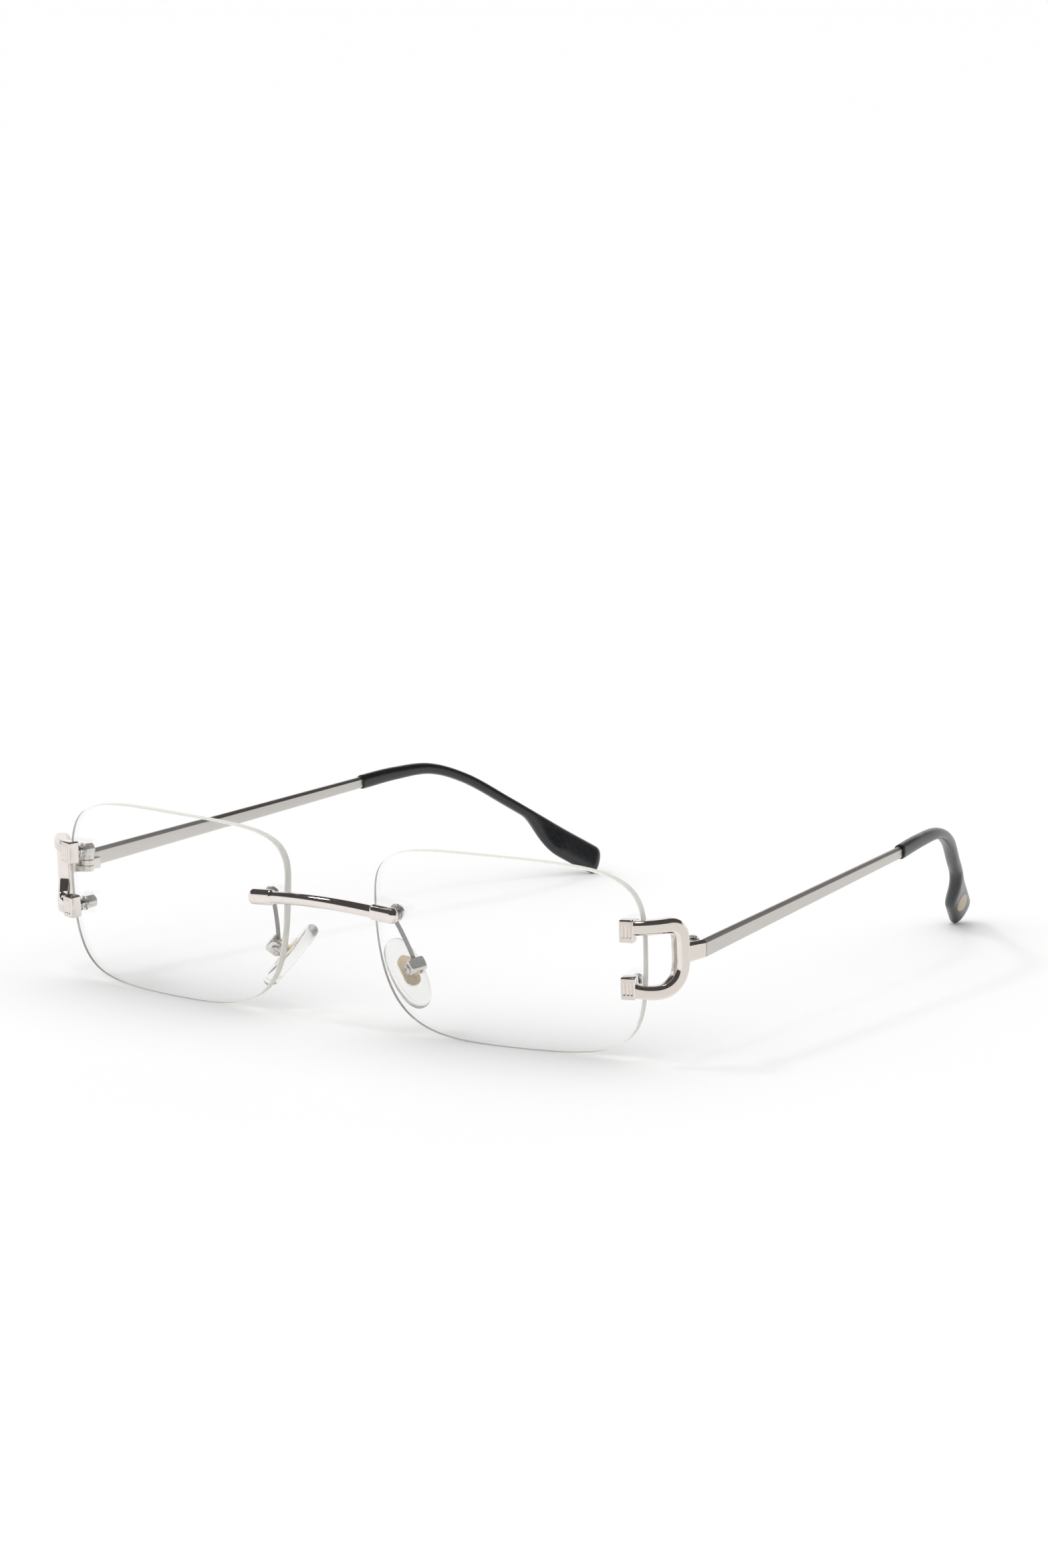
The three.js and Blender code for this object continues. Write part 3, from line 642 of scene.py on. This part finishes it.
def bridge_bar():
    overlap, steps = 0.15, 60
    reach = BRIDGE_SEAM_X + overlap
    rings = []
    for i in range(steps + 1):
        x = mix(-reach, reach, i / steps)
        section = oval(BRIDGE_DEPTH, BRIDGE_HEIGHT, 2.3)
        rings.append(ring_at(section, bridge_centre(x), ALONG_Y, ALONG_Z))
    return solid(loft(rings))


def bridge_lug():
    """A thicker end block with a soft shoulder at the seam and a rounded outer end."""
    start = BRIDGE_SEAM_X + FIT
    length = BRIDGE_END_X - start
    shoulder, round_end, end_scale = 0.3, 1.1, 0.3
    steps = 40
    rings = []
    for i in range(steps + 1):
        x = length * i / steps
        past = max(0, x - (length - round_end)) / round_end
        early = max(0, shoulder - x) / shoulder
        scale = max(end_scale, math.sqrt(1 - past * past)) * (1 - 0.09 * early * early)
        section = oval(LUG_DEPTH * scale, LUG_HEIGHT * scale, 2.5)
        rings.append(ring_at(section, bridge_centre(start + x), ALONG_Y, ALONG_Z))
    return cut(solid(loft(rings)), stud_bore(BRIDGE_STUD, STUD_RADIUS + FIT, -2, 1))


# ------------------------------------------------------------------ end bracket
BRACKET_HEADING = math.asin(UPPER_STUD[0] / LENS_RADIUS)


def bracket_frame(s):
    """The place, the direction and the way back on the bracket's curved face, s round from its feet."""
    heading = BRACKET_HEADING + s / BRACKET_RADIUS
    along = Vector((math.cos(heading), math.sin(heading), 0))
    back = Vector((-math.sin(heading), math.cos(heading), 0))
    first_back = Vector((-math.sin(BRACKET_HEADING), math.cos(BRACKET_HEADING), 0))
    middle = BRACKET_WASHER + BRACKET_DEPTH / 2
    at = lens_surface(UPPER_STUD[0], 0) + first_back * (BRACKET_RADIUS - middle) - back * BRACKET_RADIUS
    return at, along, back


def bracket_path():
    """The D from the upper foot round to the lower foot, as (s, height) on the curved face."""
    upper, lower, side = UPPER_ARM_V, LOWER_ARM_V, SIDE_BAR_S
    start, corner = Vector((1, upper - 0.1)), Vector((7.4, upper))
    turn_end, rise = Vector((side, upper - 3.2)), Vector((side, 1.2))
    low, end = Vector((4.7, lower - 0.25)), Vector((1, lower + 0.25))
    curves = [
        straight(start, corner),
        (corner, Vector((8.9, upper)), Vector((side, upper - 1.1)), turn_end),
        straight(turn_end, rise),
        (rise, Vector((side, -2.2)), Vector((7.8, lower - 0.25)), low),
        (low, Vector((3.3, lower - 0.25)), Vector((2.07, lower - 0.08)), end),
    ]
    return chained(curves)


def bracket_arms():
    """The D itself, a bar swept along its path that swells towards its middle."""
    steps = 120
    rings = []
    for i, (here, ahead) in enumerate(evenly(bracket_path(), steps)):
        at, along, back = bracket_frame(here.x)
        outward = along * -ahead.y + ALONG_Z * ahead.x
        swell = math.sin(math.pi * i / steps) ** 2
        height = mix(UPPER_ARM_HEIGHT, LOWER_ARM_HEIGHT, i / steps) + SWELL_HEIGHT * swell
        depth = BRACKET_DEPTH + SWELL_DEPTH * swell
        section = softened(chamfered(height, depth, 0.25, 0.55), 0.16, 4)
        centre = Vector((at.x, at.y, here.y))
        rings.append(ring_at(section, centre, outward, back))
    return solid(loft(rings), LENS_FRAME)


def bracket_cap(stud):
    """The square foot of an arm, with upright grooves in its front."""
    front = -BRACKET_WASHER - CAP_DEPTH
    half_x, half_z = CAP_WIDTH / 2, CAP_HEIGHT / 2
    body = bevelled(solid(block((-half_x, front, -half_z), (half_x, -BRACKET_WASHER, half_z))), 0.28, 4)
    upright = Matrix.Rotation(math.pi / 2, 4, "X")
    grooves = []
    for x in (-GROOVE_SPACING, 0, GROOVE_SPACING):
        centre = Matrix.Translation((x, front + GROOVE_DEPTH - GROOVE_RADIUS, 0))
        grooves.append(solid(rod(GROOVE_RADIUS, -1.3, 1.3, 0.2, COARSE_FACETS), centre @ upright))
    body = cut(body, *grooves)
    body.data.transform(stud_frame((UPPER_STUD[0], stud[1])))
    return body


def bracket_stub():
    """The stub runs straight back from the bracket to the hinge seam."""
    start = Vector((BAR_START.x, STUB_START_Y, HINGE.z + 0.1))
    end = Vector((BAR_START.x, HINGE.y - FIT, HINGE.z))
    rings = []
    for at, height in ((start, BAR_START_HEIGHT + 0.35), (end, BAR_START_HEIGHT)):
        section = softened(chamfered(BAR_START_WIDTH, height, 0.6, 0.3))
        rings.append(ring_at(section, at, ALONG_X, ALONG_Z))
    return solid(loft(rings))


def end_bracket():
    body = joined(bracket_arms(), bracket_cap(UPPER_STUD), bracket_cap(LOWER_STUD), bracket_stub())
    bores = [stud_bore(stud, STUD_RADIUS + FIT, -1.6, 1) for stud in (UPPER_STUD, LOWER_STUD)]
    return polish_edges(cut(body, *bores))


def polish_edges(bracket):
    """Leaves the faces that follow the bracket's curve satin and makes every other face polished."""
    at, _, back = bracket_frame(0)
    axis = at + back * BRACKET_RADIUS
    into_lens_frame = LENS_FRAME.inverted()

    def follows_curve(face):
        outward = (into_lens_frame @ face.center - axis).xy.normalized()
        normal = (into_lens_frame.to_3x3() @ face.normal).xy
        return abs(normal.dot(outward)) > 0.93

    return two_tone(bracket, satin, polished, follows_curve)


# ------------------------------------------------------------------ fasteners
def threaded(radius, start, end, pitch=0.25):
    """A stud with a thread drawn as fine grooves towards its back half."""
    plain, groove, chamfer = 0.4, 0.06, 0.1
    profile = [(0, start), (radius, start)]
    y = max(start + plain, 0)
    while y + pitch < end - chamfer:
        profile += [(radius, y), (radius - groove, y + pitch / 2)]
        y += pitch
    profile += [(radius, y), (radius, end - chamfer), (radius - chamfer, end), (0, end)]
    return turned(profile, COARSE_FACETS)


def ridged_nut(outer, inner, start, end, ridges=12):
    """A round nut with ridges along its side."""
    ridge_depth = 0.04
    facets = ridges * 4
    points = []
    for y, shrink in ((start, 0.92), (start + 0.1, 1), (end - 0.1, 1), (end, 0.92)):
        for i in range(facets):
            angle = 2 * math.pi * i / facets
            radius = outer * shrink * (1 - ridge_depth * (1 + math.cos(angle * ridges)) / 2)
            points.append(Vector((radius * math.cos(angle), y, radius * math.sin(angle))))
    rings = [points[k:k + facets] for k in range(0, len(points), facets)]
    return cut(solid(loft(rings)), solid(rod(inner, start - 1, end + 1, facets=COARSE_FACETS)))


def add_stud_set(name, stud, grip, washer_radius, washer_depth, packing, nut_radius, nut_length):
    """A stud with the washer in front of the lens, the one behind it and the nut.

    The stud reaches grip in front of the lens. The packing is free room in front of the nut.
    """
    place = stud_frame(stud)
    behind = LENS_THICKNESS + FIT
    nut_from = behind + washer_depth + FIT + packing
    bore = STUD_RADIUS + FIT
    pin = solid(threaded(STUD_RADIUS, -grip, nut_from + nut_length + 0.15), place)
    add_pair(f"{name}_stud", pin, steel)
    front_washer = solid(ring(washer_radius, bore, 2 * FIT - washer_depth, -FIT), place)
    add_pair(f"{name}_front_washer", front_washer, washer_clear)
    back_washer = solid(ring(washer_radius, bore, behind, behind + washer_depth - FIT), place)
    add_pair(f"{name}_back_washer", back_washer, washer_clear)
    nut = ridged_nut(nut_radius, bore, nut_from, nut_from + nut_length)
    nut.data.transform(place)
    add_pair(f"{name}_nut", nut, steel)


# ------------------------------------------------------------------ hinge
KNUCKLE_HEIGHT = HINGE_HEIGHT / 3
UPRIGHT = Matrix.Translation(HINGE) @ Matrix.Rotation(math.pi / 2, 4, "X")


def knuckle(level, web_from, web_to, reach):
    """One of the three barrels round the pin, with the web that ties it to its leaf."""
    bottom = -HINGE_HEIGHT / 2 + level * KNUCKLE_HEIGHT + FIT / 2
    top = bottom + KNUCKLE_HEIGHT - FIT
    barrel = solid(rod(HINGE_RADIUS, bottom, top, 0.08), UPRIGHT)
    web = solid(block(
        (HINGE.x, web_from, HINGE.z + bottom), (HINGE.x + reach, web_to, HINGE.z + top),
    ))
    return joined(barrel, web)


def hinge_bore():
    return solid(rod(PIN_RADIUS + FIT, -HINGE_HEIGHT, HINGE_HEIGHT, facets=COARSE_FACETS), UPRIGHT)


def hinge_front_leaf():
    inner_face = BAR_START.x - BAR_START_WIDTH / 2 - FIT
    reach = inner_face - HINGE.x
    half_height = (HINGE_HEIGHT - FIT) / 2
    plate = bevelled(solid(block(
        (inner_face - FRONT_LEAF_THICKNESS, HINGE.y + FRONT_LEAF_FROM, HINGE.z - half_height),
        (inner_face, HINGE.y + FRONT_LEAF_TO, HINGE.z + half_height),
    )), 0.08)
    knuckles = [knuckle(level, HINGE.y - 1.8, HINGE.y - FIT, reach) for level in (0, 2)]
    return cut(joined(plate, *knuckles), hinge_bore())


def bar_inner_face(distance):
    """How far to the side the temple bar's inner face is, at a distance behind the hinge."""
    lean = distance * (BAR_START.x - BAR_END.x) / (BAR_END.y - BAR_START.y)
    return BAR_START.x - BAR_START_WIDTH / 2 - FIT - lean


def hinge_rear_leaf():
    half_height = (HINGE_HEIGHT - FIT) / 2
    near, far = REAR_LEAF_FROM, REAR_LEAF_TO
    near_face, far_face = bar_inner_face(near), bar_inner_face(far)
    corners = [
        (near_face, near), (far_face, far),
        (far_face - REAR_LEAF_THICKNESS, far), (near_face - REAR_LEAF_THICKNESS, near),
    ]
    plate = bevelled(solid(loft([
        [Vector((x, HINGE.y + distance, HINGE.z + z)) for x, distance in corners]
        for z in (-half_height, REAR_LEAF_TOP)
    ])), 0.2, 4)
    web_end = near + 0.4
    tongue = knuckle(1, HINGE.y + FIT, HINGE.y + web_end, bar_inner_face(web_end) - HINGE.x)
    return cut(joined(plate, tongue), hinge_bore())


def hinge_screw():
    """A screw with a domed and slotted head."""
    top = HINGE_HEIGHT / 2 + FIT
    head = 0.85
    profile = [
        (0, -HINGE_HEIGHT / 2), (PIN_RADIUS, -HINGE_HEIGHT / 2), (PIN_RADIUS, top),
        (head - 0.05, top), (head, top + 0.06), (head, top + 0.22),
        (head * 0.8, top + 0.36), (head * 0.4, top + 0.4), (0, top + 0.4),
    ]
    slot = solid(block((-0.11, top + 0.18, -1), (0.11, top + 1, 1)))
    screw = cut(solid(turned(profile)), slot)
    # UPRIGHT turns the screw's own Y to point up.
    screw.data.transform(UPRIGHT)
    return screw


# ------------------------------------------------------------------ temple
CORE_TURN = ALONG_Y.rotation_difference(BAR_DIRECTION).to_matrix().to_4x4()


def temple_core(clearance):
    """The thin end of the bar inside the tip, or with a clearance the hole for it."""
    shape = rod(CORE_RADIUS + clearance, -1, CORE_LENGTH + clearance, facets=COARSE_FACETS)
    return solid(shape, Matrix.Translation(BAR_END) @ CORE_TURN)


def temple_bar():
    steps = 24
    rings = []
    for i in range(steps + 1):
        t = i / steps
        height = mix(BAR_START_HEIGHT, BAR_END_HEIGHT, t)
        width = mix(BAR_START_WIDTH, BAR_END_WIDTH, t)
        section = softened(chamfered(width, height, mix(0.6, 0.4, t), 0.3), 0.06)
        rings.append(ring_at(section, BAR_START.lerp(BAR_END, t), ALONG_X, ALONG_Z))
    return joined(solid(loft(rings)), temple_core(0))


TIP_POINTS = [
    BAR_END + BAR_DIRECTION * 0.15,
    Vector((60.9, 101.4, 24.7)),
    Vector((59, 110.8, 24.5)),
    Vector((56.3, 118.8, 21.7)),
    Vector((51.9, 128.1, 15.7)),
    Vector((47.2, 138.2, 8.9)),
    Vector((43.25, 146.6, 3.52)),
]
TIP_STEPS = 500
TIP_STATIONS = evenly(lambda t: through(TIP_POINTS, t), TIP_STEPS)


def tip_station(step):
    """Where the tip is at a step, its sideways and upward directions, and its width and height there."""
    t = step / TIP_STEPS
    at, ahead = TIP_STATIONS[step]
    flare = smoothstep(t, FLARE_FROM, FLARE_TO)
    drop = smoothstep(t, 0, DROP_TO)
    end_round = (1 - (max(0, t - END_ROUND_FROM) / END_ROUND_REACH) ** 3) ** (1 / 3)
    mouth = 1 - 0.07 * max(0, 1 - t / 0.004)
    height = mix(mix(SLEEVE_HEIGHT, DROP_HEIGHT, drop), PADDLE_HEIGHT, flare) * end_round * mouth
    width = mix(mix(SLEEVE_WIDTH, DROP_WIDTH, drop), PADDLE_WIDTH, flare) * end_round * mouth
    outwards = ahead.cross(ALONG_Z).normalized()
    twist = Matrix.Rotation(flare * PADDLE_TWIST, 3, ahead)
    side = twist @ outwards
    up = twist @ outwards.cross(ahead)
    return at - up * (flare * (PADDLE_HEIGHT - DROP_HEIGHT) / 2), side, up, ahead, width, height


def tip_body():
    """The tip lofted over every fifth station, and over each one at its mouth and near its end."""
    fine_from = 470
    rings = []
    for step in [0, 2, *range(5, fine_from, 5), *range(fine_from, TIP_STEPS + 1)]:
        at, side, up, _, width, height = tip_station(step)
        rings.append(ring_at(oval(width, height, 2.4, 36), at, side, up))
    return solid(loft(rings))


def inlay_disc(clearance, lift):
    """An oval plug standing out of the paddle's outer face."""
    at, side, up, ahead, width, _ = tip_station(round(INLAY_AT * TIP_STEPS))
    turn = Matrix((up, side, ahead)).transposed().to_4x4()
    place = Matrix.Translation(at + side * (width / 2 - INLAY_DEPTH + lift)) @ turn
    stretch = Matrix.Diagonal((INLAY_WIDTH / 2 + clearance, 1, INLAY_LENGTH / 2 + clearance, 1))
    return solid(rod(1, 0, 2, 0.001, 56), place @ stretch)


def temple_tip():
    return cut(tip_body(), temple_core(FIT), inlay_disc(0.02, 0))


def tip_inlay():
    return combined(inlay_disc(0, 0.02), "INTERSECT", tip_body())


# ------------------------------------------------------------------ nose pad
PAD_ACROSS = PAD_OUT.cross(PAD_ALONG).normalized()
PAD_FRAME = (
    Matrix.Translation(PAD_CENTRE) @ Matrix((PAD_ALONG, PAD_ACROSS, PAD_OUT)).transposed().to_4x4()
)
SCREW_FRAME = PAD_FRAME @ Matrix.Translation(PAD_SCREW)


def obround(length, width, low, high):
    """A plate with straight sides and half-round ends."""
    count = 14
    centre = (length - width) / 2
    outline = []
    for end, first in ((1, -math.pi / 2), (-1, math.pi / 2)):
        for i in range(count + 1):
            angle = first + math.pi * i / count
            outline.append((end * centre + math.cos(angle) * width / 2, math.sin(angle) * width / 2))
    return loft([[Vector((x, y, z)) for x, y in outline] for z in (low, high)])


def nose_pad():
    """A soft oval cushion with round edges and, on the lens side, a pocket for the core plate."""
    steps = 16
    rings = []
    for i in range(steps + 1):
        angle = math.pi * i / steps
        depth = -math.cos(angle) / 2
        scale = mix(PAD_RIM, 1, math.sin(angle) ** 0.7)
        length = PAD_LENGTH - (1 - scale) * PAD_WIDTH
        section = oval(length, PAD_WIDTH * scale, 2.2, 64)
        rings.append(ring_at(section, Vector((0, 0, depth * PAD_THICKNESS)), ALONG_X, ALONG_Y))
    pocket = solid(obround(
        PLATE_LENGTH + 2 * FIT, PLATE_WIDTH + 2 * FIT,
        PAD_THICKNESS / 2 - PLATE_DEPTH - FIT, PAD_THICKNESS,
    ))
    body = cut(solid(loft(rings)), pocket)
    body.data.transform(PAD_FRAME)
    return body


def pad_core():
    """The gold plate and the lug on it that the pad screw holds."""
    top = PAD_THICKNESS / 2
    plate = bevelled(solid(obround(PLATE_LENGTH, PLATE_WIDTH, top - PLATE_DEPTH, top)), 0.12, 3, 50)
    x, y, z = PAD_SCREW
    post = solid(block(
        (x - PAD_LUG_RADIUS, y - PAD_LUG_THICKNESS / 2, top - 0.2),
        (x + PAD_LUG_RADIUS, y + PAD_LUG_THICKNESS / 2, z),
    ))
    on_screw = Matrix.Translation(PAD_SCREW)
    eye = solid(rod(PAD_LUG_RADIUS, -PAD_LUG_THICKNESS / 2, PAD_LUG_THICKNESS / 2), on_screw)
    bore = solid(rod(PAD_SCREW_RADIUS + FIT, -2, 2, facets=COARSE_FACETS), on_screw)
    body = cut(joined(plate, post, eye), bore)
    body.data.transform(PAD_FRAME)
    return body


def pad_box():
    """A rounded box with a slot for the lug, open towards the pad."""
    bottom = -PAD_LUG_RADIUS - 0.1
    slot_top = PAD_LUG_RADIUS + 0.15
    roof = slot_top + BOX_ROOF
    middle = Vector((0, 0, (roof + bottom) / 2))
    half = BOX_LENGTH / 2
    rounding = [(half, 0.8), (half - 0.1, 0.9), (half - 0.3, 0.985), (half - 0.5, 1)]
    stations = [(-y, scale) for y, scale in rounding] + rounding[::-1]
    rings = []
    for y, scale in stations:
        section = [(x * scale, z * scale) for x, z in oval(BOX_WIDTH, roof - bottom, 4)]
        rings.append(ring_at(section, middle + ALONG_Y * y, ALONG_X, ALONG_Z))
    slot_half = PAD_LUG_THICKNESS / 2 + 2 * FIT
    slot = solid(block((-BOX_WIDTH, -slot_half, slot_top - 4), (BOX_WIDTH, slot_half, slot_top)))
    body = cut(solid(loft(rings)), slot, solid(rod(PAD_SCREW_RADIUS + FIT, -3, 3, facets=COARSE_FACETS)))
    body.data.transform(SCREW_FRAME)
    return body


def pad_screw():
    """A screw with a domed head and a cross recess."""
    front = -BOX_LENGTH / 2 - FIT
    back = BOX_LENGTH / 2 - 0.1
    shank = PAD_SCREW_RADIUS
    head = 0.95
    profile = [
        (0, front - 0.4), (head * 0.5, front - 0.4), (head * 0.85, front - 0.3), (head, front - 0.12),
        (head, front), (shank, front), (shank, back - 0.08), (shank - 0.08, back), (0, back),
    ]
    arm, half_width = 0.52, 0.1
    recess = [
        solid(block((-x, front - 1, -z), (x, front - 0.16, z)))
        for x, z in ((arm, half_width), (half_width, arm))
    ]
    body = cut(solid(turned(profile)), *recess)
    body.data.transform(SCREW_FRAME)
    return body


def pad_arm():
    """An eyelet on the bridge stud and a wire down to the upper side of the pad box."""
    depth = LENS_THICKNESS + BRIDGE_WASHER + 2 * FIT
    place = stud_frame(BRIDGE_STUD)
    eye = solid(ring(EYELET_RADIUS, STUD_RADIUS + FIT, depth, depth + EYELET_DEPTH), place)
    box_side = PAD_FRAME @ (PAD_SCREW + Vector((-BOX_WIDTH / 2 - FIT, 0, 0.8)))
    start = place @ Vector((-0.4, depth + EYELET_DEPTH / 2 + 0.2, -1.55))
    bow = ALONG_Y * 0.15
    points = [start, start.lerp(box_side, 0.35) + bow, start.lerp(box_side, 0.7) + bow, box_side]
    rings = []
    for at, ahead in evenly(lambda t: through(points, t), 40):
        side = ahead.cross(ALONG_Y).normalized()
        rings.append(ring_at(oval(WIRE, WIRE, 2, 20), at, side, side.cross(ahead)))
    into_stud_frame = place.inverted()

    def on_eyelet(face):
        at = into_stud_frame @ face.center
        return at.y < depth + EYELET_DEPTH + FIT / 2 and at.z > -EYELET_RADIUS - 0.02

    # The wire part gets the dark metal, whose tone is painted shade.
    return two_tone(joined(eye, solid(loft(rings))), steel, wire, on_eyelet)


# ------------------------------------------------------------------ assembly
add_pair("lens", lens_body(), None)

bar = bridge_bar()
add_piece(bar, polished, "front", "bridge_bar")
bpy.data.objects.remove(bar)
add_pair("bridge_lug", bridge_lug(), polished)
add_stud_set(
    "bridge", BRIDGE_STUD, grip=1.8, washer_radius=1.3, washer_depth=BRIDGE_WASHER,
    packing=EYELET_DEPTH + FIT, nut_radius=1.2, nut_length=0.75,
)

add_pair("pad_arm", pad_arm(), None)
add_pair("pad_box", pad_box(), box_metal)
add_pair("pad_screw", pad_screw(), steel)
add_pair("pad_core", pad_core(), gold, "pad")
add_pair("nose_pad", nose_pad(), silicone, "pad")

add_pair("end_bracket", end_bracket(), None)
for stud_name, stud_at in (("bracket_upper", UPPER_STUD), ("bracket_lower", LOWER_STUD)):
    add_stud_set(
        stud_name, stud_at, grip=1.5, washer_radius=1.35, washer_depth=BRACKET_WASHER,
        packing=0, nut_radius=1.15, nut_length=1.9,
    )

add_pair("hinge_front_leaf", hinge_front_leaf(), satin)
add_pair("hinge_screw", hinge_screw(), steel)
add_pair("hinge_rear_leaf", hinge_rear_leaf(), satin, "temple")
add_pair("temple_bar", temple_bar(), bar_satin, "temple")
add_pair("temple_tip", temple_tip(), black, "temple")
add_pair("tip_inlay", tip_inlay(), inlay_gold, "temple")


# ------------------------------------------------------------------ camera, floor and light
view_right = Vector((math.cos(VIEW_AZIMUTH), math.sin(VIEW_AZIMUTH), 0))
view_level = Vector((math.sin(VIEW_AZIMUTH), -math.cos(VIEW_AZIMUTH), 0))
view_back = view_level * math.cos(VIEW_ELEVATION) + ALONG_Z * math.sin(VIEW_ELEVATION)
view_up = view_back.cross(view_right)


def add_camera():
    camera = bpy.data.objects.new("camera", bpy.data.cameras.new("camera"))
    camera.data.lens = FOCAL_LENGTH
    camera.data.sensor_width = 36
    camera.data.clip_end = 100
    turn = Matrix((view_right, view_up, view_back)).transposed().to_4x4()
    spot = view_right * VIEW_ASIDE + view_up * VIEW_UP + view_back * VIEW_DISTANCE
    camera.matrix_world = Matrix.Translation((spot + ORIGIN) * MM) @ turn
    bpy.context.scene.collection.objects.link(camera)
    bpy.context.scene.camera = camera


def add_floor():
    mesh = bpy.data.meshes.new("floor")
    corners = [(x * FLOOR_HALF, y * FLOOR_HALF, 0) for x, y in ((-1, -1), (1, -1), (1, 1), (-1, 1))]
    mesh.from_pydata(corners, [], [(0, 1, 2, 3)])
    floor = bpy.data.objects.new("floor", mesh)
    mesh.materials.append(new_material("pale_floor", (0.9, 0.9, 0.9), 0.7, Specular_IOR_Level=0.1))
    bpy.context.scene.collection.objects.link(floor)


def add_sun(name, towards, strength, spread, in_reflections):
    """A distant soft light, spread degrees across."""
    sun = bpy.data.objects.new(name, bpy.data.lights.new(name, "SUN"))
    sun.data.energy = strength
    sun.data.angle = math.radians(spread)
    sun.rotation_euler = towards.to_track_quat("Z", "Y").to_euler()
    sun.visible_glossy = in_reflections
    sun.visible_transmission = in_reflections
    bpy.context.scene.collection.objects.link(sun)


def add_studio():
    """Pale surroundings up to a dim ceiling, which comes lower on the camera's side."""
    world = bpy.data.worlds.new("studio")
    world.use_nodes = True
    tree = world.node_tree
    place = tree.nodes.new("ShaderNodeTexCoord")
    height = tree.nodes.new("ShaderNodeVectorMath")
    height.operation = "DOT_PRODUCT"
    height.inputs[1].default_value = view_level * CEILING_TILT + ALONG_Z
    ramp = tree.nodes.new("ShaderNodeValToRGB")
    ramp.color_ramp.interpolation = "EASE"
    ramp.color_ramp.elements[0].position = CEILING_FROM
    ramp.color_ramp.elements[0].color = (*WALL_COLOR, 1)
    ramp.color_ramp.elements[1].position = CEILING_TO
    ramp.color_ramp.elements[1].color = (*CEILING_COLOR, 1)
    tree.links.new(place.outputs["Generated"], height.inputs[0])
    tree.links.new(height.outputs["Value"], ramp.inputs["Fac"])
    tree.links.new(ramp.outputs["Color"], tree.nodes["Background"].inputs["Color"])
    bpy.context.scene.world = world


add_camera()
add_floor()
add_studio()
add_sun("key", TO_KEY, KEY_STRENGTH, KEY_SPREAD, in_reflections=True)
add_sun("strip", TO_STRIP, STRIP_STRENGTH, KEY_SPREAD, in_reflections=True)
add_sun("overhead", TO_OVERHEAD, OVERHEAD_STRENGTH, OVERHEAD_SPREAD, in_reflections=False)
bpy.context.scene.view_settings.view_transform = "Standard"
